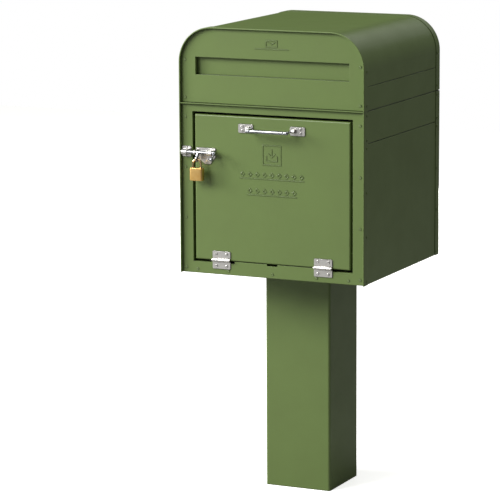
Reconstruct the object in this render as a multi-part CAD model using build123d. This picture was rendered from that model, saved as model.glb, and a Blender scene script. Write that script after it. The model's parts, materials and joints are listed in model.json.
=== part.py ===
"""A pedestal mailbox: a folded-steel letter and parcel cabinet on a square post.

Units are millimetres. The part's origin is the centre of the post's foot, +Z is up, the front faces -Y.
The cabinet's pieces are modelled in cabinet coordinates and placed once, by CABINET: there X runs from the
middle to the right, Y from the rim's front edge to the back, and Z from the cabinet's underside.
"""

import math
import os

from build123d import *

# Overall sizes
CABINET_W = 350.0
CABINET_D = 350.0
LOWER_H = 300.0  # underside to the middle of the partition
UPPER_H = 134.0  # middle of the partition to the top of the cap
LOWER_BAND_H = 56.0  # first side seam to the middle of the partition
UPPER_BAND_H = 42.0  # middle of the partition to the cap's lower edge
ARCH_R = 62.0  # outside radius of the cap's two long edges
POST_SIDE = 125.0
POST_LENGTH = 400.0

# Sheet metal
SHEET = 1.0
FOLD_R = 1.0  # outside radius of a folded edge, up to the sheet itself
RIM_T = 2.0  # hemmed rim, two sheets thick
RECESS = 6.0  # the front faces lie this far behind the rim
WRAP = 18.0  # how far the front and back frames lap over the side sheets
FLANGE = 12.0  # stiffening flanges along the seams
SEAM = 0.8  # open seam between two side sheets
PARTITION_T = 1.6
PARTITION_SETBACK = 0.4  # the partition's edge behind the rim's front edge
PARTITION_SIDE_GAP = 0.2
PAN_TURN = 14.0  # upturned edge of the floor pan
POST_WALL = 2.0
POST_CORNER_R = 4.0

# Door opening and door
STILE_W = 23.0
HEAD_H = 14.2  # opening's top to the middle of the partition
OPENING_BOTTOM = 20.5
LIP_TOP = 24.6  # raised strip of the frame between the hinges
LIP_LEFT = 72.0
LIP_RIGHT = 80.0
NOTCH_W = 20.0
NOTCH_DEPTH = 3.0
DOOR_GAP = 4.6
DOOR_SILL_GAP = 0.4  # door's lower edge above the raised strip
DOOR_DEPTH = 15.0
DOOR_FOLD_R = 2.5
STOP_GAP = 1.8  # room for the gasket behind the closed door
STOP_LIP = 8.0
RIB_W = 28.0
RIB_INSET = 30.0
GASKET_T = 1.5
GASKET_W = 6.0

# Rivets and screws
RIVET_R = 1.5
RIVET_HEAD_R = 2.5
RIVET_HEAD_H = 0.9
RIVET_GRIP = 3.2
HOLE_CLEARANCE = 0.1
SCREW_R = 1.5
SCREW_HEAD_R = 2.4
SCREW_HEAD_H = 1.0
SCREW_LENGTH = 5.0
THROUGH = 40.0  # long enough to drill through whatever is stacked at a fastener
RIVET_INSET = 9.5  # rows of rivets from the outside edges
RIM_RIVET_Y = 13.0
SIDE_RIVET_INSET = 7.0  # end rivets from a side sheet's edges
RIVET_COUNT = 4  # in each column, below the lower band and on the face
FACE_RIVET_DROP = 24.0  # highest face rivet below the partition
SILL_RIVETS = (-144.0, -84.0, 0.0, 84.0, 144.0)
SILL_RIVET_Z = 7.4
UPPER_BAND_RIVET_RISE = 10.0  # these three are above the partition
CAP_RIVET_RISE = 68.0
BRACKET_RIVET_RISE = 76.0
MODULE_RIVET_INSET = 60.0

# Door hinges and mail door hinges: surface-mounted butt hinges
HINGE_X = 97.0
HINGE_W = 34.0
HINGE_Z = 26.0
LEAF_T = 1.4
KNUCKLE_R = 3.0
HINGE_PIN_R = 1.5
HINGE_PLAY = 0.05
KNUCKLE_GAP = 0.4
LEAF_REACH = 15.5  # from the pin to a leaf's far edge
LEAF_SCREW_X = 10.0
LEAF_SCREW_REACH = 10.5
MID_KNUCKLE_W = 13.0

# Handle
HANDLE_DROP = 39.5  # pivots below the partition
HANDLE_INNER = 35.5
HANDLE_PLATE_W = 27.5
HANDLE_PLATE_H = 15.0
HANDLE_PLATE_T = 1.5
HANDLE_EAR_W = 5.0
HANDLE_EAR_R = 3.6
HANDLE_PIN_R = 2.0
HANDLE_PLAY = 0.1
HANDLE_PIVOT_OUT = 4.0  # pivot in front of the plate
BAIL_REACH = 15.0
BAIL_DROP = 1.5
BAIL_R = 3.4
BAIL_ARM_R = 2.4
BAIL_SIDE_GAP = 0.6

# Latch
LATCH_DROP = 85.0  # rod below the partition
ROD_R = 3.0
ROD_OUT = 9.5  # rod's axis in front of the door
ROD_PLAY = 0.1
ROD_INSET = 9.0  # rod's end from the cabinet's left side
ROD_LENGTH = 63.0
KEEPER_INSET = 3.5
KEEPER_W = 17.0
KEEPER_H = 18.0
KEEPER_LOOP_W = 10.0
KEEPER_SCREW_HEAD_R = 2.0
KEEPER_SCREW_SPREAD = 14.0
LATCH_PLATE_T = 1.4
LATCH_PLATE_INSET = 30.5
LATCH_PLATE_W = 37.0
LATCH_PLATE_H = 15.0
LATCH_TIP_DROP = 13.0
LATCH_TIP_W = 10.0
GUIDE_T = 1.5
LEFT_GUIDE_W = 3.0
BARREL_W = 9.5
EAR_INSET = 38.0
EAR_T = 2.0
EAR_HOLE_R = 3.2
EAR_R = 5.6
EAR_DROP = 10.6  # hole's centre below the rod's axis
EAR_FORWARD = 4.5  # hole's centre in front of the rod's axis
KNOB_R = 3.5
KNOB_REACH = 13.5
KNOB_STEM_R = 1.5
KNOB_COLLAR_W = 4.0
KNOB_COLLAR_R = 4.4
KNOB_GAP = 1.0
BARREL_SETBACK = 2.0  # barrel's end from the plate's right edge
EAR_HUB_WALL = 1.4
EAR_WEB_W = 8.0
LATCH_SCREW_X = 7.5  # upper screw beside the ear
LATCH_SCREW_DROP = 5.0
TIP_SCREW_DROP = 6.0

# Padlock
SHACKLE_R = 2.0
SHACKLE_SPAN = 15.3
SHACKLE_SEAT = 0.3  # left between the wire and the ear's hole
SHACKLE_RISE = 16.8  # top of the shackle above the body
SHACKLE_HEEL = 14.0
SHACKLE_TOE = 6.0
SHACKLE_PLAY = 0.15
PADLOCK_W = 25.0
PADLOCK_H = 22.2
PADLOCK_T = 12.0
PADLOCK_EDGE_R = 1.6
PLUG_R = 4.6
PLUG_DEPTH = 7.0
PLUG_OFFSET = 3.0
PLUG_SINK = 0.3
KEYWAY_W = 1.2
KEYWAY_HALF_L = 3.0
KEYWAY_FLOOR = 2.0  # plug left solid behind the keyway

# Letter slot and flap
SLOT_INSET = 29.5  # slot's ends from the cabinet's sides
SLOT_RISE = 50.3  # slot above the partition
SLOT_H = 31.0
SLOT_LINING = 7.0
FLAP_T = 1.0
FLAP_LAP = 2.0
FLAP_GAP = 0.4
FLAP_PIN_R = 2.0
FLAP_PLAY = 0.1
FLAP_KNUCKLE_R = 3.0
FLAP_PIN_RISE = 4.7
BRACKET_T = 1.5
BRACKET_GAP = 0.8
BRACKET_LAP = 10.0

# Mail door at the back
MAIL_OPENING_INSET = 55.0
MAIL_OPENING_RISE = 18.0  # opening above the partition
MAIL_OPENING_H = 90.0
MAIL_FLANGE = 11.0
MAIL_GAP = 2.0
MAIL_DOOR_DEPTH = 11.0
MAIL_HINGE_X = 75.0
LOCK_DROP = 17.0  # lock below the opening's top
LOCK_R = 9.0
LOCK_FLANGE_R = 11.0
LOCK_FLANGE_T = 2.0
LOCK_PLUG_R = 5.5
LOCK_LENGTH = 16.0
CAM_T = 2.0
CAM_W = 14.0
CAM_REACH = 27.0
CAM_GAP = 1.0
LOCK_NUT_R = 12.5
LOCK_NUT_T = 4.0

# Fixing the cabinet to the post, and the post to the ground
POST_PLATE_T = 4.0
BASE_PLATE_T = 6.0
MOUNT_SPACING = 80.0
MOUNT_HOLE_R = 4.5
MOUNT_BOLT_R = 4.0
MOUNT_HEAD_R = 7.5
MOUNT_HEAD_H = 5.3
MOUNT_WASHER_R = 8.0
MOUNT_WASHER_T = 1.6
MOUNT_NUT_H = 6.8
MOUNT_TAIL = 3.0
ANCHOR_SPACING = 80.0
ANCHOR_HOLE_R = 7.0
BASE_EYE_R = 30.0  # drain and tool hole in the middle of the base plate

# Raised marks on the faces
MARK_HEIGHT = 0.6
MARK_STROKE = 1.4
DIAMOND = 9.0
DIAMOND_PITCH = 14.0
ENVELOPE_DROP = 25.0  # below the cap's top
ENVELOPE_W = 21.0
ENVELOPE_H = 11.0
ENVELOPE_RULE = 31.0
BADGE_DROP = 84.0  # these three are below the partition
BADGE_SIZE = 34.0
LONG_ROW_DROP = 119.0
LONG_ROW_COUNT = 9
SHORT_ROW_DROP = 147.5
SHORT_ROW_COUNT = 7

CABINET = Pos(0, -CABINET_D / 2, POST_LENGTH)
HALF_W = CABINET_W / 2
CABINET_H = LOWER_H + UPPER_H
MAIN_SIDE_H = LOWER_H - LOWER_BAND_H
UPPER_BAND_TOP = LOWER_H + UPPER_BAND_H
OPENING_TOP = LOWER_H - HEAD_H
HANDLE_Z = LOWER_H - HANDLE_DROP
LATCH_Z = LOWER_H - LATCH_DROP
ROD_LEFT = ROD_INSET - HALF_W
ROD_RIGHT = ROD_LEFT + ROD_LENGTH
KEEPER_LEFT = KEEPER_INSET - HALF_W
LATCH_PLATE_LEFT = LATCH_PLATE_INSET - HALF_W
LATCH_TIP_X = LATCH_PLATE_LEFT + LATCH_PLATE_W * 0.6
EAR_X = EAR_INSET - HALF_W
SLOT_HALF_W = HALF_W - SLOT_INSET
SLOT_BOTTOM = LOWER_H + SLOT_RISE
SLOT_TOP = SLOT_BOTTOM + SLOT_H
MAIL_OPENING_HALF_W = HALF_W - MAIL_OPENING_INSET
MAIL_OPENING_BOTTOM = LOWER_H + MAIL_OPENING_RISE
MAIL_OPENING_TOP = MAIL_OPENING_BOTTOM + MAIL_OPENING_H
LOCK_Z = MAIL_OPENING_TOP - LOCK_DROP
FACE_Y = RECESS  # front of both faces and of the door
BEHIND_FACE = RECESS + SHEET
BACK_Y = CABINET_D - SHEET  # inside of the back sheets
SKIN_X = HALF_W - SHEET  # outside of the side sheets, under the frames
LOWER_TOP = LOWER_H - PARTITION_T / 2
UPPER_BOTTOM = LOWER_H + PARTITION_T / 2
OPENING_HALF_W = HALF_W - STILE_W
DOOR_HALF_W = OPENING_HALF_W - DOOR_GAP
DOOR_BOTTOM = LIP_TOP + DOOR_SILL_GAP
DOOR_TOP = OPENING_TOP - DOOR_GAP
DOOR_BACK = FACE_Y + DOOR_DEPTH
STOP_Y = DOOR_BACK + STOP_GAP
HINGE_Y = FACE_Y - KNUCKLE_R
ROD_Y = FACE_Y - ROD_OUT
EAR_HOLE_Y = ROD_Y - EAR_FORWARD
EAR_HOLE_Z = LATCH_Z - EAR_DROP
SHACKLE_TOP_Z = EAR_HOLE_Z - EAR_HOLE_R + SHACKLE_R + SHACKLE_SEAT
PADLOCK_TOP = SHACKLE_TOP_Z + SHACKLE_R - SHACKLE_RISE
HANDLE_PIVOT_Y = FACE_Y - HANDLE_PLATE_T - HANDLE_PIVOT_OUT
FLAP_Y = BEHIND_FACE + SLOT_LINING + FLAP_GAP
FLAP_PIN_Y = FLAP_Y + FLAP_T - FLAP_KNUCKLE_R
FLAP_PIN_Z = SLOT_TOP + FLAP_PIN_RISE
FLAP_HALF_W = SLOT_HALF_W + FLAP_LAP
MAIL_DOOR_HALF_W = MAIL_OPENING_HALF_W - MAIL_GAP
MAIL_DOOR_BOTTOM = MAIL_OPENING_BOTTOM + MAIL_GAP
MAIL_DOOR_TOP = MAIL_OPENING_TOP - MAIL_GAP
MAIL_HINGE_Z = MAIL_OPENING_BOTTOM + MAIL_GAP / 2
MAIL_HINGE_Y = CABINET_D + KNUCKLE_R

NODES = {}


def spread(first, last, count):
    """Evenly spaced heights from first to last."""
    return [first + (last - first) * i / (count - 1) for i in range(count)]


SIDE_RIVETS = spread(SIDE_RIVET_INSET, MAIN_SIDE_H - SIDE_RIVET_INSET, RIVET_COUNT)
FACE_RIVETS = spread(RIVET_INSET, LOWER_H - FACE_RIVET_DROP, RIVET_COUNT)
LOWER_BAND_RIVETS = [MAIN_SIDE_H + SIDE_RIVET_INSET, LOWER_H - SIDE_RIVET_INSET]
LOWER_SIDE_RIVETS = SIDE_RIVETS + LOWER_BAND_RIVETS
UPPER_BAND_RIVET = LOWER_H + UPPER_BAND_RIVET_RISE
CAP_RIVET = LOWER_H + CAP_RIVET_RISE
BRACKET_RIVET = LOWER_H + BRACKET_RIVET_RISE
UPPER_SIDE_RIVETS = [UPPER_BAND_RIVET, CAP_RIVET]
BACK_RIVET_Y = CABINET_D - RIM_RIVET_Y
MODULE_RIVETS_Y = spread(MODULE_RIVET_INSET, CABINET_D - MODULE_RIVET_INSET, 3)


def keep(name, shape, place=CABINET):
    """Place a finished sub-part and keep it under its node's name."""
    NODES[name] = place * shape


def block(x0, x1, y0, y1, z0, z1):
    """A box between two corners."""
    size = Box(x1 - x0, y1 - y0, z1 - z0)
    return Pos((x0 + x1) / 2, (y0 + y1) / 2, (z0 + z1) / 2) * size


def rod(start, end, radius):
    """A round bar from one point to another."""
    a, b = Vector(*start), Vector(*end)
    return Plane(origin=a, z_dir=b - a) * Cylinder(
        radius, (b - a).length, align=(Align.CENTER, Align.CENTER, Align.MIN)
    )


def along_x(x0, x1, y, z, radius):
    """A round bar that runs across, from x0 to x1."""
    return rod((x0, y, z), (x1, y, z), radius)


def joined(shapes):
    """Many separate or touching shapes as one part."""
    shapes = list(shapes)
    return shapes[0].fuse(*shapes[1:]) if len(shapes) > 1 else shapes[0]


def group(shapes):
    """Separate solids kept together in one node."""
    return Compound(children=[solid for shape in shapes for solid in shape.solids()])


def arch(inset, y0, y1, bottom):
    """The cabinet's rounded-top outline, moved in by inset and extruded from y0 to y1."""
    body = block(-HALF_W + inset, HALF_W - inset, y0, y1, bottom, CABINET_H - inset)
    return fillet(body.edges().filter_by(Axis.Y).group_by(Axis.Z)[-1], ARCH_R - inset)


def drilled(shape, tools):
    """The shape with every tool cut out of it."""
    return shape.cut(*tools)


def fastener(point, direction, head_r, head_h, shank_r, length):
    """A dome-headed rivet or screw: its head sits on the point, its shank runs back along direction."""
    head = Cylinder(head_r, head_h, align=(Align.CENTER, Align.CENTER, Align.MIN))
    head = fillet(head.edges().group_by(Axis.Z)[-1], head_h * 0.7)
    shank = Cylinder(shank_r, length, align=(Align.CENTER, Align.CENTER, Align.MAX))
    outward = Vector(*direction) * -1
    return Plane(origin=Vector(*point), z_dir=outward) * (head + shank)


def rivets(points, direction):
    """A rivet at each point."""
    return [fastener(p, direction, RIVET_HEAD_R, RIVET_HEAD_H, RIVET_R, RIVET_GRIP) for p in points]


def screws(points, direction, head_r=SCREW_HEAD_R):
    """A screw at each point."""
    return [fastener(p, direction, head_r, SCREW_HEAD_H, SCREW_R, SCREW_LENGTH) for p in points]


def holes(points, direction, shank_r):
    """A clearance drill through each point, both ways along direction."""
    reach = Vector(*direction) * (THROUGH / 2)
    return [rod(Vector(*p) - reach, Vector(*p) + reach, shank_r + HOLE_CLEARANCE) for p in points]


# Fastener places, shared by the pieces that they go through


def rim_points(side, heights, y):
    """Rivets on a frame's side wrap."""
    return [(side * HALF_W, y, z) for z in heights]


def face_points():
    """Rivets on the lower front face: two columns and the sill's row."""
    x = HALF_W - RIVET_INSET
    columns = [(side * x, FACE_Y, z) for side in (-1, 1) for z in FACE_RIVETS]
    return columns + [(x, FACE_Y, SILL_RIVET_Z) for x in SILL_RIVETS]


def bracket_points():
    """Rivets through the face that hold the flap's brackets."""
    x = HALF_W - RIVET_INSET
    return [(side * x, FACE_Y, BRACKET_RIVET) for side in (-1, 1)]


def mount_points():
    """The four bolts between cabinet and post."""
    h = MOUNT_SPACING / 2
    return [(sx * h, CABINET_D / 2 + sy * h, 0) for sx in (-1, 1) for sy in (-1, 1)]


def side_drills(heights):
    """Drills for the rivets of both wraps, on both sides."""
    tools = []
    for side in (-1, 1):
        for y in (RIM_RIVET_Y, BACK_RIVET_Y):
            tools += holes(rim_points(side, heights, y), (1, 0, 0), RIVET_R)
    return tools


def module_points(side):
    """Rivets through the partition and the two flanges beside it."""
    x = side * (HALF_W - SHEET * 2 - FLANGE / 2)
    return [(x, y, UPPER_BOTTOM + SHEET) for y in MODULE_RIVETS_Y]


# Post


def build_post():
    """The square column, its two plates, and the bolts that carry the cabinet."""
    side, inner = POST_SIDE, POST_SIDE - 2 * POST_WALL
    column = Box(side, side, POST_LENGTH, align=(Align.CENTER, Align.CENTER, Align.MIN))
    column = fillet(column.edges().filter_by(Axis.Z), POST_CORNER_R)
    bore = Box(inner, inner, POST_LENGTH, align=(Align.CENTER, Align.CENTER, Align.MIN))
    bore = fillet(bore.edges().filter_by(Axis.Z), POST_CORNER_R - POST_WALL)
    ground = Pos(0, 0, 0)
    keep("post_column", column - bore, ground)

    def plate(z, thickness, spacing, radius):
        body = Box(inner, inner, thickness, align=(Align.CENTER, Align.CENTER, Align.MIN))
        body = fillet(body.edges().filter_by(Axis.Z), POST_CORNER_R - POST_WALL)
        for x in (-spacing / 2, spacing / 2):
            for y in (-spacing / 2, spacing / 2):
                body -= Pos(x, y, thickness / 2) * Cylinder(radius, thickness * 2)
        return Pos(0, 0, z) * body

    base = plate(0, BASE_PLATE_T, ANCHOR_SPACING, ANCHOR_HOLE_R)
    keep("post_base_plate", base - Cylinder(BASE_EYE_R, BASE_PLATE_T * 4), ground)
    top = plate(POST_LENGTH - POST_PLATE_T, POST_PLATE_T, MOUNT_SPACING, MOUNT_HOLE_R)
    keep("post_top_plate", top, ground)
    build_mount_bolts()


def build_mount_bolts():
    """Bolt, washer and nut at each of the four fixing points."""
    seat = SHEET + MOUNT_WASHER_T
    nut_top = -POST_PLATE_T
    tail = nut_top - MOUNT_NUT_H - MOUNT_TAIL
    bolts, washers, nuts = [], [], []
    for x, y, _ in mount_points():
        head = extrude(RegularPolygon(MOUNT_HEAD_R, 6), MOUNT_HEAD_H)
        shank = rod((0, 0, tail - seat), (0, 0, 0), MOUNT_BOLT_R)
        bolts.append(Pos(x, y, seat) * (head + shank))
        ring = Cylinder(MOUNT_WASHER_R, MOUNT_WASHER_T) - Cylinder(MOUNT_HOLE_R, MOUNT_WASHER_T)
        washers.append(Pos(x, y, SHEET + MOUNT_WASHER_T / 2) * ring)
        nut = extrude(RegularPolygon(MOUNT_HEAD_R, 6), MOUNT_NUT_H)
        nut -= Cylinder(MOUNT_BOLT_R + HINGE_PLAY, MOUNT_NUT_H * 3)
        nuts.append(Pos(x, y, nut_top - MOUNT_NUT_H) * nut)
    keep("mount_bolts", group(bolts))
    keep("mount_washers", group(washers))
    keep("mount_nuts", group(nuts))


# Lower module


def side_sheet(side, bottom, top, flange_bottom, flange_top):
    """One flat side sheet with a flange turned in along a seam."""
    outer, inner = SKIN_X, SKIN_X - SHEET
    sheet = block(inner, outer, BEHIND_FACE, BACK_Y, bottom, top)
    y0, y1 = WRAP + FOLD_R, CABINET_D - WRAP - FOLD_R
    if flange_top:
        sheet += block(outer - FLANGE, outer, y0, y1, top - SHEET, top)
    if flange_bottom:
        sheet += block(outer - FLANGE, outer, y0, y1, bottom, bottom + SHEET)
    seams = [e for e in sheet.edges().filter_by(Axis.Y) if abs(e.center().X - outer) < 0.01]
    sheet = fillet([e for e in seams if e.length > CABINET_D / 2], FOLD_R * 0.8)
    return sheet if side > 0 else mirror(sheet, about=Plane.YZ)


def build_sides():
    """The three stacked side sheets of each side, below the cap."""
    half = SEAM / 2
    for side, word in ((-1, "left"), (1, "right")):
        main = side_sheet(side, 0, MAIN_SIDE_H - half, False, True)
        keep(f"main_side_{word}", drilled(main, side_drills(SIDE_RIVETS)))
        module = holes(module_points(side), (0, 0, 1), RIVET_R)
        band = side_sheet(side, MAIN_SIDE_H + half, LOWER_TOP, True, True)
        keep(f"lower_band_{word}", drilled(band, side_drills(LOWER_BAND_RIVETS) + module))
        band = side_sheet(side, UPPER_BOTTOM, UPPER_BAND_TOP - half, True, True)
        keep(f"upper_band_{word}", drilled(band, side_drills([UPPER_BAND_RIVET]) + module))


def build_floor():
    """Floor pan with upturned edges, bolted down to the post."""
    x, y0, y1 = SKIN_X - SHEET, WRAP + SEAM, BACK_Y
    pan = block(-x, x, y0, y1, 0, PAN_TURN)
    pan -= block(-x + SHEET, x - SHEET, y0 - 1, y1 - SHEET, SHEET, PAN_TURN + 1)
    tools = holes(mount_points(), (0, 0, 1), MOUNT_HOLE_R - HOLE_CLEARANCE)
    keep("floor_pan", drilled(pan, tools + side_drills(SIDE_RIVETS)))


def rounded_face(body):
    """A block of the front with its long straight edges on the face plane rounded."""
    face = body.faces().sort_by(Axis.Y)[0].edges().filter_by(Axis.X)
    return fillet([e for e in face if e.length > CABINET_W * 0.9], SHEET * 1.4)


def flange_room(y0, y1, z):
    """Notches in a frame's flange at height z that clear the side sheets and their flanges."""
    near = SKIN_X - FLANGE - SEAM
    spans = [sorted((side * near, side * SKIN_X)) for side in (-1, 1)]
    return joined(block(x0, x1, y0, y1, z - SHEET * 2, z + SHEET * 2) for x0, x1 in spans)


def build_lower_front():
    """Front frame with its raised rims, side wraps and the door opening."""
    lip = HALF_W - RIM_T
    frame = rounded_face(block(-lip, lip, FACE_Y, WRAP, 0, LOWER_TOP))
    for side in (-1, 1):
        x0, x1 = sorted((side * lip, side * HALF_W))
        rim = block(x0, x1, 0, WRAP, 0, LOWER_TOP)
        frame += fillet([e for e in rim.edges().filter_by(Axis.Z) if e.center().Y < 0.01], RIM_T * 0.4)
    frame -= block(-SKIN_X, SKIN_X, BEHIND_FACE, WRAP + 1, SHEET, LOWER_TOP - SHEET)
    frame -= joined(flange_room(BEHIND_FACE, WRAP + 1, z) for z in (0, LOWER_TOP))
    frame -= block(-OPENING_HALF_W, OPENING_HALF_W, 0, WRAP, LIP_TOP, OPENING_TOP)
    frame -= block(-OPENING_HALF_W, -LIP_LEFT, 0, WRAP, OPENING_BOTTOM, OPENING_TOP)
    frame -= block(LIP_RIGHT, OPENING_HALF_W, 0, WRAP, OPENING_BOTTOM, OPENING_TOP)
    frame -= block(-NOTCH_W / 2, NOTCH_W / 2, 0, WRAP, LIP_TOP - NOTCH_DEPTH, OPENING_TOP)
    tools = side_drills(LOWER_SIDE_RIVETS) + holes(face_points(), (0, 1, 0), RIVET_R)
    tools += holes(leaf_points(-1), (0, 1, 0), SCREW_R)
    tools += holes(keeper_points(), (0, 1, 0), SCREW_R)
    keep("lower_front_frame", drilled(frame, tools))


def build_door_stop():
    """Lining of the door opening, with a flange behind the face and a lip that the door closes against."""
    x, top, bottom = OPENING_HALF_W, OPENING_TOP, OPENING_BOTTOM
    outer = SKIN_X - FLANGE / 4
    flange = block(-outer, outer, BEHIND_FACE, BEHIND_FACE + SHEET, SHEET * 3, LOWER_TOP - SHEET * 3)
    lining = block(-x - SHEET, x + SHEET, BEHIND_FACE, STOP_Y + SHEET, bottom - SHEET, top + SHEET)
    stop = flange + lining
    stop -= block(-x, x, 0, STOP_Y, bottom, top)
    lip = STOP_LIP
    stop -= block(-x + lip, x - lip, 0, STOP_Y + SHEET * 2, bottom + lip, top - lip)
    tools = holes(face_points(), (0, 1, 0), RIVET_R)
    tools += holes(leaf_points(-1), (0, 1, 0), SCREW_R)
    tools += holes(keeper_points(), (0, 1, 0), SCREW_R)
    keep("door_stop_frame", drilled(stop, tools))
    x0, z0, z1 = x - SEAM, bottom + SEAM, top - SEAM
    ring = block(-x0, x0, STOP_Y - GASKET_T, STOP_Y, z0, z1)
    w = GASKET_W
    ring -= block(-x0 + w, x0 - w, 0, STOP_Y + 1, z0 + w, z1 - w)
    keep("door_gasket", ring)


def build_lower_back():
    """Back sheet of the parcel compartment, wrapped round both sides."""
    panel = block(-HALF_W, HALF_W, CABINET_D - WRAP, CABINET_D, 0, LOWER_TOP)
    panel -= block(-SKIN_X, SKIN_X, 0, BACK_Y, -1, LOWER_TOP + 1)
    corners = [e for e in panel.edges().filter_by(Axis.Z) if abs(e.center().Y - CABINET_D) < 0.01]
    panel = fillet(corners, SHEET * 1.4)
    keep("lower_back_panel", drilled(panel, side_drills(LOWER_SIDE_RIVETS)))


def build_lower_rivets():
    """Rivets of the lower module: front face, front wraps and back wraps."""
    wraps = []
    for side in (-1, 1):
        wraps += rivets(rim_points(side, LOWER_SIDE_RIVETS, RIM_RIVET_Y), (-side, 0, 0))
    keep("lower_face_rivets", group(rivets(face_points(), (0, 1, 0))))
    keep("lower_wrap_rivets", group(wraps))
    backs = []
    for side in (-1, 1):
        backs += rivets(rim_points(side, LOWER_SIDE_RIVETS, BACK_RIVET_Y), (-side, 0, 0))
    keep("lower_back_rivets", group(backs))


# Marks


def bar(x0, z0, x1, z1):
    """A straight raised bar on a face."""
    angle = math.degrees(math.atan2(z1 - z0, x1 - x0))
    shape = Box(math.hypot(x1 - x0, z1 - z0) + MARK_STROKE, MARK_HEIGHT * 2, MARK_STROKE)
    return Pos((x0 + x1) / 2, FACE_Y, (z0 + z1) / 2) * Rot(0, -angle, 0) * shape


def bar_frame(x, z, width, height):
    """Four raised bars round a rectangle."""
    x0, x1, z0, z1 = x - width / 2, x + width / 2, z - height / 2, z + height / 2
    corners = [(x0, z0), (x1, z0), (x1, z1), (x0, z1)]
    return [bar(*corners[i - 1], *corners[i]) for i in range(4)]


def diamond_row(z, count):
    """A row of raised open diamonds over a rule."""
    side, half = DIAMOND / math.sqrt(2), (count - 1) / 2 * DIAMOND_PITCH
    shapes = []
    for i in range(count):
        place = Pos(i * DIAMOND_PITCH - half, FACE_Y, z) * Rot(0, 45, 0)
        ring = Box(side, MARK_HEIGHT * 2, side) - Box(side - 3, MARK_HEIGHT * 3, side - 3)
        shapes.append(place * ring)
    end = half + DIAMOND / 2
    return shapes + [bar(-end, z - DIAMOND * 0.8, end, z - DIAMOND * 0.8)]


def envelope_mark():
    """An envelope over a rule, above the slot."""
    w, h = ENVELOPE_W, ENVELOPE_H
    z = CABINET_H - ENVELOPE_DROP
    top, fold, rule = z + h / 2, z - h * 0.1, z - h * 0.85
    shapes = bar_frame(0, z, w, h) + [bar(-w / 2, top, 0, fold), bar(0, fold, w / 2, top)]
    return shapes + [bar(-ENVELOPE_RULE, rule, ENVELOPE_RULE, rule)]


def parcel_mark():
    """A framed arrow pointing down into a tray, over two rows of diamonds."""
    z, r = LOWER_H - BADGE_DROP, BADGE_SIZE / 2
    shapes = bar_frame(0, z, BADGE_SIZE, BADGE_SIZE)
    shapes += [bar(0, z + r * 0.6, 0, z - r * 0.2)]
    shapes += [bar(side * r * 0.35, z + r * 0.15, 0, z - r * 0.2) for side in (-1, 1)]
    shapes += [bar(side * r * 0.6, z - r * 0.1, side * r * 0.6, z - r * 0.6) for side in (-1, 1)]
    shapes += [bar(-r * 0.6, z - r * 0.6, r * 0.6, z - r * 0.6)]
    shapes += diamond_row(LOWER_H - LONG_ROW_DROP, LONG_ROW_COUNT)
    return shapes + diamond_row(LOWER_H - SHORT_ROW_DROP, SHORT_ROW_COUNT)


# Door


def build_door():
    """Door skin and liner."""
    skin = block(-DOOR_HALF_W, DOOR_HALF_W, FACE_Y, DOOR_BACK, DOOR_BOTTOM, DOOR_TOP)
    front = skin.faces().sort_by(Axis.Y)[0].edges()
    skin = fillet(front, DOOR_FOLD_R)
    x, z0, z1 = DOOR_HALF_W - SHEET, DOOR_BOTTOM + SHEET, DOOR_TOP - SHEET
    room = block(-x, x, FACE_Y + SHEET, DOOR_BACK + 1, z0, z1)
    room = fillet(room.faces().sort_by(Axis.Y)[0].edges(), DOOR_FOLD_R - SHEET)
    drills = holes(leaf_points(1), (0, 1, 0), SCREW_R)
    drills += holes(handle_screw_points(), (0, 1, 0), SCREW_R)
    drills += holes(latch_screw_points(), (0, 1, 0), SCREW_R)
    keep("door_skin", drilled(skin - room, drills).fuse(*parcel_mark()))
    liner = block(-x, x, DOOR_BACK - SHEET, DOOR_BACK, z0, z1)
    w, inset = RIB_W / 2, RIB_INSET
    for side in (-1, 1):
        rib = block(-w, w, FACE_Y + SHEET * 2, DOOR_BACK - SHEET, z0 + inset, z1 - inset)
        rib -= block(-w + SHEET, w - SHEET, FACE_Y + SHEET * 3, DOOR_BACK, z0, z1)
        liner += Pos(side * x / 2, 0, 0) * rib
    keep("door_liner", liner)


# Hinges, used at the door and, turned round, at the mail door


def leaf_points(end, hinge_xs=(-HINGE_X, HINGE_X)):
    """Screw places on the fixed (-1) or moving (1) leaves of the door's hinges."""
    z = HINGE_Z + end * LEAF_SCREW_REACH
    return [(x + dx, FACE_Y - LEAF_T, z) for x in hinge_xs for dx in (-LEAF_SCREW_X, LEAF_SCREW_X)]


def knuckle_spans():
    """X spans of the fixed outer knuckles and of the moving middle one, about the hinge's middle."""
    half, mid = HINGE_W / 2, MID_KNUCKLE_W / 2
    return [(-half, -mid - KNUCKLE_GAP), (mid + KNUCKLE_GAP, half)], [(-mid, mid)]


def leaf(end):
    """One leaf about its pin at the origin: end -1 hangs below the pin, end 1 stands above it."""
    spans = knuckle_spans()[0 if end < 0 else 1]
    half, near = HINGE_W / 2, KNUCKLE_R + KNUCKLE_GAP
    z0, z1 = sorted((end * near, end * LEAF_REACH))
    back, front = KNUCKLE_R, KNUCKLE_R - LEAF_T
    shape = block(-half, half, front, back, z0, z1)
    outer = shape.edges().filter_by(Axis.Y).group_by(Axis.Z)[0 if end < 0 else -1]
    shape = fillet(outer, 1.5)
    for x0, x1 in spans:
        z0, z1 = sorted((0.0, end * near))
        shape += block(x0, x1, front, back, z0, z1)
        shape += along_x(x0, x1, 0, 0, KNUCKLE_R)
    bore = along_x(-HINGE_W, HINGE_W, 0, 0, HINGE_PIN_R + HINGE_PLAY)
    points = [(dx, 0, end * LEAF_SCREW_REACH) for dx in (-LEAF_SCREW_X, LEAF_SCREW_X)]
    return drilled(shape, [bore] + holes(points, (0, 1, 0), SCREW_R))


def hinge_pin():
    """A plain hinge pin about the origin."""
    return along_x(-HINGE_W / 2, HINGE_W / 2, 0, 0, HINGE_PIN_R)


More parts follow.
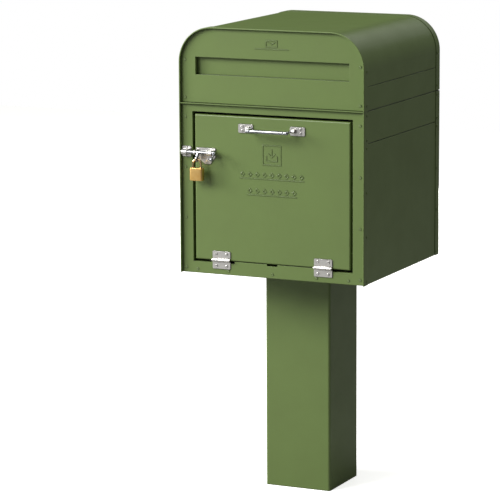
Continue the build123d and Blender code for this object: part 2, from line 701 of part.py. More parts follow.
def build_door_hinges():
    """Two butt hinges under the door, screwed to the face and to the door."""
    places = [Pos(x, HINGE_Y, HINGE_Z) for x in (-HINGE_X, HINGE_X)]
    keep("hinge_fixed_leaves", group([p * leaf(-1) for p in places]))
    keep("hinge_moving_leaves", group([p * leaf(1) for p in places]))
    keep("hinge_pins", group([p * hinge_pin() for p in places]))
    keep("hinge_frame_screws", group(screws(leaf_points(-1), (0, 1, 0))))
    keep("hinge_door_screws", group(screws(leaf_points(1), (0, 1, 0))))


# Handle


def handle_screw_points():
    """Two screws in each handle plate."""
    x = HANDLE_INNER + HANDLE_PLATE_W * 0.72
    dz = HANDLE_PLATE_H * 0.25
    y = FACE_Y - HANDLE_PLATE_T
    return [(sx * x, y, HANDLE_Z + sz * dz) for sx in (-1, 1) for sz in (-1, 1)]


def build_handle():
    """Two plates with ears, and the bail that folds between them."""
    ear_x = HANDLE_INNER + BAIL_ARM_R * 2 + BAIL_SIDE_GAP
    y_plate = FACE_Y - HANDLE_PLATE_T
    half_h = HANDLE_PLATE_H / 2
    plates = []
    for side in (-1, 1):
        x0, x1 = sorted((side * HANDLE_INNER, side * (HANDLE_INNER + HANDLE_PLATE_W)))
        plate = block(x0, x1, y_plate, FACE_Y, HANDLE_Z - half_h, HANDLE_Z + half_h)
        plate = fillet(plate.edges().filter_by(Axis.Y), 1.5)
        x0, x1 = sorted((side * ear_x, side * (ear_x + HANDLE_EAR_W)))
        ear = along_x(x0, x1, HANDLE_PIVOT_Y, HANDLE_Z, HANDLE_EAR_R)
        ear += block(x0, x1, HANDLE_PIVOT_Y, y_plate, HANDLE_Z - HANDLE_EAR_R, HANDLE_Z + HANDLE_EAR_R)
        bore = along_x(x0 - 9, x1 + 9, HANDLE_PIVOT_Y, HANDLE_Z, HANDLE_PIN_R + HANDLE_PLAY)
        drills = holes(handle_screw_points(), (0, 1, 0), SCREW_R)
        plates.append(drilled(plate + ear, [bore] + drills))
    keep("handle_plates", group(plates))
    keep("handle_screws", group(screws(handle_screw_points(), (0, 1, 0))))
    keep("handle_bail", build_bail(ear_x))


def build_bail(ear_x):
    """The bail: two stub pins, two arms and a thicker grip bar."""
    arm_x = HANDLE_INNER + BAIL_ARM_R
    pivot = (HANDLE_PIVOT_Y, HANDLE_Z)
    bar = (HANDLE_PIVOT_Y - BAIL_REACH, HANDLE_Z - BAIL_DROP)
    shape = rod((-arm_x, *bar), (arm_x, *bar), BAIL_R)
    for side in (-1, 1):
        x = side * arm_x
        shape += rod((x, *pivot), (x, *bar), BAIL_ARM_R)
        shape += Pos(x, *bar) * Sphere(BAIL_R)
        shape += Pos(x, *pivot) * Sphere(BAIL_ARM_R)
        shape += rod((x, *pivot), (side * (ear_x + HANDLE_EAR_W - 0.5), *pivot), HANDLE_PIN_R)
    return shape


# Latch


def keeper_points():
    """One screw above the keeper's loop and one below it."""
    x, dz = KEEPER_LEFT + KEEPER_W / 2, KEEPER_SCREW_SPREAD / 2
    return [(x, FACE_Y - LATCH_PLATE_T, LATCH_Z + s * dz) for s in (-1, 1)]


def latch_screw_points():
    """Screws of the latch plate: one beside the ear, one in the tip."""
    y = FACE_Y - LATCH_PLATE_T
    tip_z = LATCH_Z - LATCH_PLATE_H / 2 - TIP_SCREW_DROP
    return [(EAR_X + LATCH_SCREW_X, y, LATCH_Z - LATCH_SCREW_DROP), (LATCH_TIP_X, y, tip_z)]


def staple(x0, x1, inner_r, outer_r):
    """A bridge over the rod, standing on a plate on the face."""
    y_plate = FACE_Y - LATCH_PLATE_T
    bridge = along_x(x0, x1, ROD_Y, LATCH_Z, outer_r)
    bridge += block(x0, x1, ROD_Y, y_plate, LATCH_Z - outer_r, LATCH_Z + outer_r)
    bridge -= along_x(x0 - 1, x1 + 1, ROD_Y, LATCH_Z, inner_r)
    return bridge - block(x0 - 1, x1 + 1, ROD_Y, y_plate, LATCH_Z - inner_r, LATCH_Z + inner_r)


def build_keeper():
    """Keeper on the frame's left stile: a plate with a loop that takes the rod."""
    x0, x1 = KEEPER_LEFT, KEEPER_LEFT + KEEPER_W
    plate = block(x0, x1, FACE_Y - LATCH_PLATE_T, FACE_Y, LATCH_Z - KEEPER_H / 2, LATCH_Z + KEEPER_H / 2)
    plate = fillet(plate.edges().filter_by(Axis.Y), 1.5)
    mid = (x0 + x1) / 2
    inner = ROD_R + ROD_PLAY * 5
    loop = staple(mid - KEEPER_LOOP_W / 2, mid + KEEPER_LOOP_W / 2, inner, inner + GUIDE_T * 0.8)
    keep("latch_keeper", drilled(plate + loop, holes(keeper_points(), (0, 1, 0), SCREW_R)))
    keep("keeper_screws", group(screws(keeper_points(), (0, 1, 0), KEEPER_SCREW_HEAD_R)))


def build_latch_plate():
    """Latch plate on the door: a pointed plate with a narrow guide and a barrel."""
    x0, x1 = LATCH_PLATE_LEFT, LATCH_PLATE_LEFT + LATCH_PLATE_W
    z0, z1 = LATCH_Z - LATCH_PLATE_H / 2, LATCH_Z + LATCH_PLATE_H / 2
    tip_z, half_tip = z0 - LATCH_TIP_DROP, LATCH_TIP_W / 2
    points = [(x0, z0), (LATCH_TIP_X - half_tip, tip_z), (LATCH_TIP_X + half_tip, tip_z)]
    points += [(x1, z0), (x1, z1), (x0, z1)]
    outline = Plane.XZ * make_face(Polyline(*points, close=True))
    plate = extrude(outline, LATCH_PLATE_T, dir=(0, -1, 0)).moved(Location((0, FACE_Y, 0)))
    inner = ROD_R + ROD_PLAY
    guides = staple(x0, x0 + LEFT_GUIDE_W, inner, inner + GUIDE_T)
    barrel_end = x1 - BARREL_SETBACK
    guides += staple(barrel_end - BARREL_W, barrel_end, inner, inner + GUIDE_T)
    keep("latch_plate", drilled(plate + guides, holes(latch_screw_points(), (0, 1, 0), SCREW_R)))
    keep("latch_screws", group(screws(latch_screw_points(), (0, 1, 0))))


def build_bolt():
    """The sliding bolt: rod, padlock ear, and a lever with a ball."""
    bar = along_x(ROD_LEFT, ROD_RIGHT, ROD_Y, LATCH_Z, ROD_R)
    keep("latch_rod", fillet(bar.edges().filter_by(GeomType.CIRCLE), 0.8))
    keep("latch_ear", padlock_ear())
    keep("latch_knob", knob_lever())


def padlock_ear():
    """The ear on the rod: a hub, a web that leans forward, and an eye for the shackle."""
    x0, x1 = EAR_X - EAR_T / 2, EAR_X + EAR_T / 2
    eye = along_x(x0, x1, EAR_HOLE_Y, EAR_HOLE_Z, EAR_R)
    hub = along_x(x0, x1, ROD_Y, LATCH_Z, ROD_R + EAR_HUB_WALL)
    length = math.hypot(EAR_DROP, EAR_FORWARD)
    lean = math.degrees(math.atan2(EAR_FORWARD, EAR_DROP))
    web = Pos(0, 0, -length / 2) * Box(EAR_T, EAR_WEB_W, length)
    ear = eye + hub + Pos(EAR_X, ROD_Y, LATCH_Z) * Rot(-lean, 0, 0) * web
    ear -= along_x(x0 - 1, x1 + 1, EAR_HOLE_Y, EAR_HOLE_Z, EAR_HOLE_R)
    return ear - along_x(x0 - 1, x1 + 1, ROD_Y, LATCH_Z, ROD_R)


def knob_lever():
    """The lever: a collar on the rod, and a stem forward and down to a ball."""
    x0 = LATCH_PLATE_LEFT + LATCH_PLATE_W - BARREL_SETBACK + KNOB_GAP
    x1, reach = x0 + KNOB_COLLAR_W, KNOB_REACH / math.sqrt(2)
    middle = (x0 + x1) / 2
    ball = (middle, ROD_Y - reach, LATCH_Z - reach)
    lever = along_x(x0, x1, ROD_Y, LATCH_Z, KNOB_COLLAR_R)
    lever += rod((middle, ROD_Y, LATCH_Z), ball, KNOB_STEM_R) + Pos(*ball) * Sphere(KNOB_R)
    return lever - along_x(x0 - 1, x1 + 1, ROD_Y, LATCH_Z, ROD_R)


# Padlock


def build_padlock():
    """Padlock hanging in the bolt's ear: shackle, body and key plug."""
    keep("padlock_shackle", shackle())
    y, z0, z1 = EAR_HOLE_Y, PADLOCK_TOP - PADLOCK_H, PADLOCK_TOP
    half_w, half_t, plug_x = PADLOCK_W / 2, PADLOCK_T / 2, EAR_X - PLUG_OFFSET
    body = block(EAR_X - half_w, EAR_X + half_w, y - half_t, y + half_t, z0, z1)
    body = fillet(body.edges().filter_by(Axis.Z), PADLOCK_EDGE_R)
    ends = body.edges().group_by(Axis.Z)
    body = fillet(ends[0] + ends[-1], PADLOCK_EDGE_R * 0.4)
    for side, depth in ((-1, SHACKLE_TOE), (1, SHACKLE_HEEL)):
        x = EAR_X + side * SHACKLE_SPAN / 2
        body -= rod((x, y, z1 + 1), (x, y, z1 - depth - 1), SHACKLE_R + SHACKLE_PLAY)
    keep("padlock_body", body - rod((plug_x, y, z0 - 1), (plug_x, y, z0 + PLUG_DEPTH), PLUG_R))
    plug = rod((plug_x, y, z0 + PLUG_SINK), (plug_x, y, z0 + PLUG_DEPTH), PLUG_R)
    way_w, way_l, way_top = KEYWAY_W / 2, KEYWAY_HALF_L, z0 + PLUG_DEPTH - KEYWAY_FLOOR
    way = block(plug_x - way_w, plug_x + way_w, y - way_l, y + way_l, z0 - 1, way_top)
    keep("padlock_plug", plug - way)


def shackle():
    """The bent wire: a short toe on the left, a long heel on the right."""
    half = SHACKLE_SPAN / 2
    left, right, arc_z = EAR_X - half, EAR_X + half, SHACKLE_TOP_Z - half
    y, toe_z, heel_z = EAR_HOLE_Y, PADLOCK_TOP - SHACKLE_TOE, PADLOCK_TOP - SHACKLE_HEEL
    path = Line((left, y, toe_z), (left, y, arc_z))
    path += ThreePointArc((left, y, arc_z), (EAR_X, y, SHACKLE_TOP_Z), (right, y, arc_z))
    path += Line((right, y, arc_z), (right, y, heel_z))
    start = Plane(origin=(left, y, toe_z), z_dir=(0, 0, 1))
    return sweep(start * Circle(SHACKLE_R), path=path)


# Upper module


def build_partition():
    """The plate between the modules: mail lies on it, and its front edge shows between the faces."""
    x = HALF_W - RIM_T - PARTITION_SIDE_GAP
    plate = block(-x, x, PARTITION_SETBACK, BACK_Y - PARTITION_SIDE_GAP, LOWER_TOP, UPPER_BOTTOM)
    nose = HALF_W - PARTITION_SIDE_GAP
    plate += block(-nose, nose, PARTITION_SETBACK, WRAP, LOWER_TOP, UPPER_BOTTOM)
    tools, pins = [], []
    for side in (-1, 1):
        tools += holes(module_points(side), (0, 0, 1), RIVET_R)
        pins += rivets(module_points(side), (0, 0, -1))
    keep("partition", drilled(plate, tools))
    keep("module_rivets", group(pins))


def build_upper_front():
    """Upper front frame: arched rim, face, letter slot and its lining."""
    rim = arch(0, 0, WRAP, UPPER_BOTTOM)
    front = rim.faces().sort_by(Axis.Y)[0].edges()
    rim = fillet([e for e in front if e.center().Z > UPPER_BOTTOM + 1], RIM_T * 0.4)
    rim -= arch(RIM_T, -1, WRAP + 1, UPPER_BOTTOM - 1)
    frame = rim + rounded_face(arch(RIM_T, FACE_Y, WRAP, UPPER_BOTTOM))
    frame -= arch(SHEET, BEHIND_FACE, WRAP + 1, UPPER_BOTTOM + SHEET)
    frame -= flange_room(BEHIND_FACE, WRAP + 1, UPPER_BOTTOM)
    x, z0, z1 = SLOT_HALF_W, SLOT_BOTTOM, SLOT_TOP
    lining_y = BEHIND_FACE + SLOT_LINING
    frame += block(-x - SHEET, x + SHEET, BEHIND_FACE, lining_y, z0 - SHEET, z1 + SHEET)
    frame -= block(-x, x, FACE_Y - 1, lining_y + 1, z0, z1)
    tools = side_drills(UPPER_SIDE_RIVETS) + holes(bracket_points(), (0, 1, 0), RIVET_R)
    lower_pair = [(x, y, UPPER_BAND_RIVET) for x, y, _ in bracket_points()]
    tools += holes(lower_pair, (0, 1, 0), RIVET_R)
    keep("upper_front_frame", drilled(frame, tools).fuse(*envelope_mark()))
    keep("upper_face_rivets", group(rivets(bracket_points() + lower_pair, (0, 1, 0))))


def build_cap():
    """The rounded cap sheet, from the side seams over the top."""
    sheet = arch(SHEET, BEHIND_FACE, BACK_Y, UPPER_BAND_TOP + SEAM / 2)
    sheet -= arch(SHEET * 2, BEHIND_FACE - 1, BACK_Y + 1, UPPER_BAND_TOP)
    z = UPPER_BAND_TOP + SEAM / 2
    for side in (-1, 1):
        x0, x1 = sorted((side * (SKIN_X - FLANGE), side * SKIN_X))
        sheet += block(x0, x1, WRAP + FOLD_R, CABINET_D - WRAP - FOLD_R, z, z + SHEET)
    keep("cap", drilled(sheet, side_drills((CAP_RIVET,))))


def build_upper_rivets():
    """Wrap rivets of the upper module, front and back."""
    fronts, backs = [], []
    for side in (-1, 1):
        fronts += rivets(rim_points(side, UPPER_SIDE_RIVETS, RIM_RIVET_Y), (-side, 0, 0))
        backs += rivets(rim_points(side, UPPER_SIDE_RIVETS, BACK_RIVET_Y), (-side, 0, 0))
    keep("upper_wrap_rivets", group(fronts + backs))


def build_flap():
    """Letter flap that hangs behind the slot, its pin, and the two brackets that hold the pin."""
    x, y, z = FLAP_HALF_W, FLAP_PIN_Y, FLAP_PIN_Z
    leaf_shape = block(-x, x, FLAP_Y, FLAP_Y + FLAP_T, SLOT_BOTTOM - FLAP_LAP, z)
    leaf_shape += rod((-x, y, z), (x, y, z), FLAP_KNUCKLE_R)
    keep("mail_flap", leaf_shape - rod((-x - 1, y, z), (x + 1, y, z), FLAP_PIN_R + FLAP_PLAY))
    near, far = x + BRACKET_GAP, x + BRACKET_GAP + BRACKET_T
    keep("flap_pin", rod((-far, y, z), (far, y, z), FLAP_PIN_R))
    brackets = []
    for side in (-1, 1):
        x0, x1 = sorted((side * near, side * far))
        z0, z1 = BRACKET_RIVET - BRACKET_LAP, z + FLAP_KNUCKLE_R * 2
        ear = block(x0, x1, BEHIND_FACE, y + FLAP_KNUCKLE_R + 1, z0, z1)
        x0, x1 = sorted((side * near, side * (SKIN_X - SHEET - SEAM)))
        shape = ear + block(x0, x1, BEHIND_FACE, BEHIND_FACE + BRACKET_T, z0, z1)
        shape -= rod((-far - 5, y, z), (far + 5, y, z), FLAP_PIN_R)
        shape = drilled(shape, holes(bracket_points(), (0, 1, 0), RIVET_R))
        shape &= arch(SHEET * 2 + SEAM, 0, CABINET_D, LOWER_H)
        brackets.append(shape)
    keep("flap_brackets", group(brackets))


def build_upper_back():
    """Back frame of the mail compartment, with the mail door's opening and its turned-in edge."""
    frame = arch(0, CABINET_D - WRAP, CABINET_D, UPPER_BOTTOM)
    frame -= arch(SHEET, 0, BACK_Y, UPPER_BOTTOM - 1)
    x, z0, z1 = MAIL_OPENING_HALF_W, MAIL_OPENING_BOTTOM, MAIL_OPENING_TOP
    frame += block(-x - SHEET, x + SHEET, BACK_Y - MAIL_FLANGE, BACK_Y, z0 - SHEET, z1 + SHEET)
    frame -= block(-x, x, 0, CABINET_D + 1, z0, z1)
    outline = frame.faces().sort_by(Axis.Y)[-1].outer_wire().edges()
    frame = fillet([e for e in outline if e.center().Z > UPPER_BOTTOM + 1], SHEET * 1.4)
    tools = side_drills(UPPER_SIDE_RIVETS) + holes(mail_leaf_points(-1), (0, 1, 0), SCREW_R)
    keep("upper_back_frame", drilled(frame, tools))


def mail_leaf_points(end):
    """Screw places on the leaves of the mail door's hinges."""
    z = MAIL_HINGE_Z + end * LEAF_SCREW_REACH
    xs = [x + dx for x in (-MAIL_HINGE_X, MAIL_HINGE_X) for dx in (-LEAF_SCREW_X, LEAF_SCREW_X)]
    return [(x, CABINET_D + LEAF_T, z) for x in xs]


def build_mail_door():
    """Mail door at the back: a shallow pan with two hinges and a cam lock."""
    x, z0, z1 = MAIL_DOOR_HALF_W, MAIL_DOOR_BOTTOM, MAIL_DOOR_TOP
    y0, y1 = CABINET_D - MAIL_DOOR_DEPTH, CABINET_D
    pan = block(-x, x, y0, y1, z0, z1)
    pan = fillet(pan.faces().sort_by(Axis.Y)[-1].edges(), SHEET * 1.5)
    pan -= block(-x + SHEET, x - SHEET, y0 - 1, y1 - SHEET, z0 + SHEET, z1 - SHEET)
    lock = [rod((0, y0 - 9, LOCK_Z), (0, y1 + 9, LOCK_Z), LOCK_R + HOLE_CLEARANCE)]
    keep("mail_door_panel", drilled(pan, lock + holes(mail_leaf_points(1), (0, 1, 0), SCREW_R)))
    turn = Rot(0, 0, 180)
    places = [Pos(s * MAIL_HINGE_X, MAIL_HINGE_Y, MAIL_HINGE_Z) * turn for s in (-1, 1)]
    keep("mail_hinge_fixed_leaves", group([p * leaf(-1) for p in places]))
    keep("mail_hinge_moving_leaves", group([p * leaf(1) for p in places]))
    keep("mail_hinge_pins", group([p * hinge_pin() for p in places]))
    keep("mail_hinge_frame_screws", group(screws(mail_leaf_points(-1), (0, -1, 0))))
    keep("mail_hinge_door_screws", group(screws(mail_leaf_points(1), (0, -1, 0))))
    build_mail_lock()


def build_mail_lock():
    """Cam lock of the mail door: housing with its nut, and the turning plug with the cam."""
    y_out = CABINET_D
    y_in = y_out - LOCK_LENGTH
    bore = rod((0, y_in - 9, LOCK_Z), (0, y_out + 9, LOCK_Z), LOCK_PLUG_R + HINGE_PLAY)
    housing = rod((0, y_in, LOCK_Z), (0, y_out, LOCK_Z), LOCK_R)
    flange = rod((0, y_out, LOCK_Z), (0, y_out + LOCK_FLANGE_T, LOCK_Z), LOCK_FLANGE_R)
    flange = fillet(flange.edges().group_by(Axis.Y)[-1], LOCK_FLANGE_T * 0.4)
    nut_y = y_out - SHEET
    hexagon = extrude(RegularPolygon(LOCK_NUT_R, 6), LOCK_NUT_T)
    nut = Plane(origin=(0, nut_y, LOCK_Z), z_dir=(0, -1, 0)) * hexagon
    nut -= rod((0, y_in, LOCK_Z), (0, y_out, LOCK_Z), LOCK_R)
    keep("mail_lock_housing", housing + flange - bore)
    keep("mail_lock_nut", nut)
    plug = rod((0, y_in - CAM_T - CAM_GAP - 2, LOCK_Z), (0, y_out + LOCK_FLANGE_T, LOCK_Z), LOCK_PLUG_R)
    way = block(-KEYWAY_W / 2, KEYWAY_W / 2, y_out - 6, y_out + 9, LOCK_Z - 3.5, LOCK_Z + 3.5)
    keep("mail_lock_plug", plug - way)
    cam_y = y_in - CAM_GAP
    cam = block(-CAM_W / 2, CAM_W / 2, cam_y - CAM_T, cam_y, LOCK_Z, LOCK_Z + CAM_REACH)
    cam = fillet(cam.edges().filter_by(Axis.Y).group_by(Axis.Z)[-1], 3.0)
    cam += rod((0, cam_y - CAM_T, LOCK_Z), (0, cam_y, LOCK_Z), CAM_W / 2)
    keep("mail_lock_cam", cam - rod((0, 0, LOCK_Z), (0, y_out, LOCK_Z), LOCK_PLUG_R))


def main():
    """Build every sub-part and write one STEP file for each."""
    build_post()
    build_sides()
    build_floor()
    build_lower_front()
    build_door_stop()
    build_lower_back()
    build_lower_rivets()
    build_door()
    build_door_hinges()
    build_handle()
    build_keeper()
    build_latch_plate()
    build_bolt()
    build_padlock()
    build_partition()
    build_upper_front()
    build_cap()
    build_upper_rivets()
    build_flap()
    build_upper_back()
    build_mail_door()
    os.makedirs("parts", exist_ok=True)
    for name, shape in NODES.items():
        export_step(shape, f"parts/{name}.step")
        print(name, len(shape.solids()))
    print(len(NODES), "nodes")


if __name__ == "__main__":
    main()
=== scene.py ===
"""Looks of a pedestal mailbox: finishes, detailed hardware, studio and camera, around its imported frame.

Everything is in metres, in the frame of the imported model: the origin is the centre of the post's foot,
+Z is up and the front faces -Y.
"""

import json
import logging
import math
from dataclasses import dataclass
from enum import Enum
from typing import Any

import bpy
from mathutils import Euler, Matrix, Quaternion, Vector

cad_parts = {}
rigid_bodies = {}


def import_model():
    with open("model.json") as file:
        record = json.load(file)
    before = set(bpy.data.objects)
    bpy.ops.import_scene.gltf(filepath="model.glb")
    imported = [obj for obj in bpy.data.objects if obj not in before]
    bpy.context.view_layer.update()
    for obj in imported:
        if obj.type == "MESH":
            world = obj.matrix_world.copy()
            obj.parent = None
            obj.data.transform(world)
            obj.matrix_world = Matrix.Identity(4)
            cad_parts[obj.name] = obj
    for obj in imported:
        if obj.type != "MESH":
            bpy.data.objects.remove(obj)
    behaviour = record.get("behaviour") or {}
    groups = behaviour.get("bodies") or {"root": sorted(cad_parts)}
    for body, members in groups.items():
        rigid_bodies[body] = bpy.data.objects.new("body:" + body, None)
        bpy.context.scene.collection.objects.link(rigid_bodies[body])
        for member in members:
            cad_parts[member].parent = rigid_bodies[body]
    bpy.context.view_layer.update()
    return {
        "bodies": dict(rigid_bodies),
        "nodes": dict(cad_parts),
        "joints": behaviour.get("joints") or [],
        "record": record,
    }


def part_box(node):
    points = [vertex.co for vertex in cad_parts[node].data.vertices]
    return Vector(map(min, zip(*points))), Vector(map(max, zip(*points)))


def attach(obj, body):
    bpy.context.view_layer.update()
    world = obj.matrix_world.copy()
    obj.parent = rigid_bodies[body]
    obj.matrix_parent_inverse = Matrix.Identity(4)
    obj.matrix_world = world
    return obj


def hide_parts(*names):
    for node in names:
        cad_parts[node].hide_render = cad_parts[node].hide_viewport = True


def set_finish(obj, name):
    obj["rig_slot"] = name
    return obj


LOG = logging.getLogger("mailbox")
MM = 0.001
NEAR = 0.01 * MM
# Colour of the painted shade that darkens seams, corners and recesses.
PAINTED_SHADE_COLOUR = "14150F"


class Facing(Enum):
    """The way a fastener's head faces, as the turn that brings its +Z there."""

    FRONT = (math.radians(90), 0.0, 0.0)
    BACK = (math.radians(-90), 0.0, 0.0)
    LEFT = (0.0, math.radians(-90), 0.0)
    RIGHT = (0.0, math.radians(90), 0.0)
    UP = (0.0, 0.0, 0.0)

    @property
    def normal(self) -> Vector:
        """The outward direction of the head."""
        return Euler(self.value).to_matrix() @ Vector((0, 0, 1))


class Grain(Enum):
    """The direction of a brushed finish's lines, as the stretch of its noise along X, Y and Z."""

    ALONG_X = (0.03, 1.0, 1.0)
    ALONG_Z = (1.0, 1.0, 0.03)


# Shader helpers


def linear(hex_colour: str) -> tuple[float, float, float, float]:
    """Turn an sRGB hex colour into the linear colour that Blender's sockets take.

    Args:
        hex_colour: six hex digits, red first.

    Returns:
        Linear red, green, blue and an alpha of 1.
    """
    channels = [int(hex_colour[i : i + 2], 16) / 255 for i in (0, 2, 4)]
    turned = [c / 12.92 if c <= 0.04045 else ((c + 0.055) / 1.055) ** 2.4 for c in channels]
    return (*turned, 1.0)


def cleared_tree(owner: bpy.types.Material | bpy.types.World) -> bpy.types.NodeTree:
    """Turn nodes on for a material or world, and return its emptied node tree."""
    owner.use_nodes = True
    owner.node_tree.nodes.clear()
    return owner.node_tree


def add_node(
    tree: bpy.types.NodeTree,
    kind: str,
    settings: dict[Any, Any] | None = None,
    links: dict[Any, bpy.types.NodeSocket] | None = None,
) -> bpy.types.Node:
    """Add a node, set its properties and input values, and link its inputs.

    Args:
        tree: the node tree that takes the node.
        kind: the node's type, such as ShaderNodeTexNoise.
        settings: values by property name, input name or input number.
        links: output sockets by the input name or number that each one feeds.

    Returns:
        The new node.
    """
    node = tree.nodes.new(kind)
    for key, value in (settings or {}).items():
        if isinstance(key, str) and hasattr(node, key):
            setattr(node, key, value)
        else:
            node.inputs[key].default_value = value
    for key, socket in (links or {}).items():
        tree.links.new(socket, node.inputs[key])
    return node


@dataclass(frozen=True)
class Finish:
    """A surface finish: one Principled shader with worked variation, bump and softened edges."""

    name: str
    colour: str
    second_colour: str
    metallic: float
    roughness: float
    roughness_spread: float
    blotch_mm: float
    grain_mm: float
    bump_height_mm: float
    bump_strength: float
    edge_mm: float = 0.5
    # Paler colour painted on the edges: partly wear, partly a painted highlight on the folds.
    edge_wear_and_highlight_colour: str | None = None
    # How strongly and how far the painted shade darkens seams and corners.
    painted_shade_strength: float = 0.45
    painted_shade_reach_mm: float = 2.5
    stretch: tuple[float, float, float] = (1.0, 1.0, 1.0)

    def build(self) -> bpy.types.Material:
        """Make the material.

        Returns:
            A material whose patterns are measured in millimetres on Object coordinates.
        """
        material = bpy.data.materials.new(self.name)
        tree = cleared_tree(material)
        place = add_node(tree, "ShaderNodeTexCoord").outputs["Object"]
        blotch = add_node(
            tree,
            "ShaderNodeTexNoise",
            {"Scale": 1 / (self.blotch_mm * MM), "Detail": 4.0, "Roughness": 0.55},
            {"Vector": place},
        ).outputs["Fac"]
        lined = add_node(
            tree, "ShaderNodeMapping", {"Scale": self.stretch}, {"Vector": place}
        ).outputs["Vector"]
        grain = add_node(
            tree,
            "ShaderNodeTexNoise",
            {"Scale": 1 / (self.grain_mm * MM), "Detail": 3.0, "Roughness": 0.6},
            {"Vector": lined},
        ).outputs["Fac"]
        shader = add_node(
            tree,
            "ShaderNodeBsdfPrincipled",
            {"Metallic": self.metallic},
            {
                "Base Color": self.tint(tree, blotch),
                "Roughness": self.roughness_socket(tree, blotch, grain),
                "Normal": self.relief(tree, grain),
            },
        )
        add_node(tree, "ShaderNodeOutputMaterial", None, {"Surface": shader.outputs["BSDF"]})
        return material

    def tint(self, tree: bpy.types.NodeTree, blotch: bpy.types.NodeSocket) -> bpy.types.NodeSocket:
        """Mix the two colours by the blotches, with paler edges, partly wear and partly a painted
        highlight, and painted shade in the corners.

        Args:
            tree: the material's node tree.
            blotch: the coarse noise.

        Returns:
            The base colour's socket.
        """
        spread = add_node(
            tree,
            "ShaderNodeMapRange",
            {"From Min": 0.35, "From Max": 0.68, "To Min": 0.0, "To Max": 1.0},
            {"Value": blotch},
        ).outputs["Result"]
        mixed = add_node(
            tree,
            "ShaderNodeMix",
            {"data_type": "RGBA", 6: linear(self.colour), 7: linear(self.second_colour)},
            {0: spread},
        ).outputs[2]
        # Paler colour on the edges: partly wear, partly a painted highlight.
        if self.edge_wear_and_highlight_colour is not None:
            mixed = add_node(
                tree,
                "ShaderNodeMix",
                {"data_type": "RGBA", 7: linear(self.edge_wear_and_highlight_colour)},
                {0: self.edge_wear_and_highlight(tree, blotch), 6: mixed},
            ).outputs[2]
        # Painted shade darkens the colour in the seams and corners.
        return self.add_painted_shade(tree, mixed)

    def add_painted_shade(self, tree: bpy.types.NodeTree, unshaded: bpy.types.NodeSocket) -> bpy.types.NodeSocket:
        """Paint shade into the colour in the seams and corners that ambient occlusion finds.

        Args:
            tree: the material's node tree.
            unshaded: the colour before the painted shade.

        Returns:
            The colour with its painted shade.
        """
        # Ambient occlusion finds the seams and corners where the shade is painted.
        openness = add_node(
            tree, "ShaderNodeAmbientOcclusion", {"samples": 8, "Distance": self.painted_shade_reach_mm * MM}
        ).outputs["AO"]
        depth = add_node(
            tree,
            "ShaderNodeMapRange",
            {"From Min": 0.96, "From Max": 0.45, "To Min": 0.0, "To Max": self.painted_shade_strength},
            {"Value": openness},
        ).outputs["Result"]
        return add_node(
            tree,
            "ShaderNodeMix",
            {"data_type": "RGBA", 7: linear(PAINTED_SHADE_COLOUR)},
            {0: depth, 6: unshaded},
        ).outputs[2]

    def edge_wear_and_highlight(self, tree: bpy.types.NodeTree, blotch: bpy.types.NodeSocket) -> bpy.types.NodeSocket:
        """Find the edges, where a rounded normal leaves the true one, and break them up.

        Args:
            tree: the material's node tree.
            blotch: the coarse noise.

        Returns:
            A mask that is high on the edges, for wear and a painted highlight.
        """
        rounded = add_node(tree, "ShaderNodeBevel", {"samples": 4, "Radius": self.edge_mm * MM})
        true = add_node(tree, "ShaderNodeNewGeometry").outputs["Normal"]
        agree = add_node(
            tree,
            "ShaderNodeVectorMath",
            {"operation": "DOT_PRODUCT"},
            {0: rounded.outputs["Normal"], 1: true},
        ).outputs["Value"]
        edge = add_node(
            tree,
            "ShaderNodeMapRange",
            {"From Min": 0.98, "From Max": 0.80, "To Min": 0.0, "To Max": 0.5},
            {"Value": agree},
        ).outputs["Result"]
        return add_node(
            tree, "ShaderNodeMath", {"operation": "MULTIPLY"}, {0: edge, 1: blotch}
        ).outputs["Value"]

    def roughness_socket(
        self,
        tree: bpy.types.NodeTree,
        blotch: bpy.types.NodeSocket,
        grain: bpy.types.NodeSocket,
    ) -> bpy.types.NodeSocket:
        """Vary the roughness with the blotches and a little with the grain.

        Args:
            tree: the material's node tree.
            blotch: the coarse noise.
            grain: the fine noise.

        Returns:
            The roughness socket.
        """
        both = add_node(
            tree, "ShaderNodeMath", {"operation": "ADD"}, {0: blotch, 1: grain}
        ).outputs["Value"]
        low, high = self.roughness - self.roughness_spread, self.roughness + self.roughness_spread
        return add_node(
            tree,
            "ShaderNodeMapRange",
            {"From Min": 0.6, "From Max": 1.4, "To Min": low, "To Max": high},
            {"Value": both},
        ).outputs["Result"]

    def relief(self, tree: bpy.types.NodeTree, grain: bpy.types.NodeSocket) -> bpy.types.NodeSocket:
        """Soften the edges and raise the grain.

        Args:
            tree: the material's node tree.
            grain: the fine noise.

        Returns:
            The normal socket.
        """
        rounded = add_node(tree, "ShaderNodeBevel", {"samples": 4, "Radius": self.edge_mm * MM})
        return add_node(
            tree,
            "ShaderNodeBump",
            {"Strength": self.bump_strength, "Distance": self.bump_height_mm * MM},
            {"Height": grain, "Normal": rounded.outputs["Normal"]},
        ).outputs["Normal"]


# Olive polyester powder coat on folded steel: satin, with a faint orange-peel skin, paler folds that are
# partly wear and partly a painted highlight, and painted shade in the seams and round the rivets and
# raised marks.
OLIVE_POWDER_COAT = Finish(
    name="olive powder-coated steel",
    colour="627540",
    second_colour="5F713D",
    metallic=0.0,
    roughness=0.37,
    roughness_spread=0.05,
    blotch_mm=70.0,
    grain_mm=1.6,
    bump_height_mm=0.12,
    bump_strength=0.16,
    edge_mm=0.6,
    edge_wear_and_highlight_colour="8B9A6E",
    painted_shade_strength=0.85,
    painted_shade_reach_mm=2.2,
)

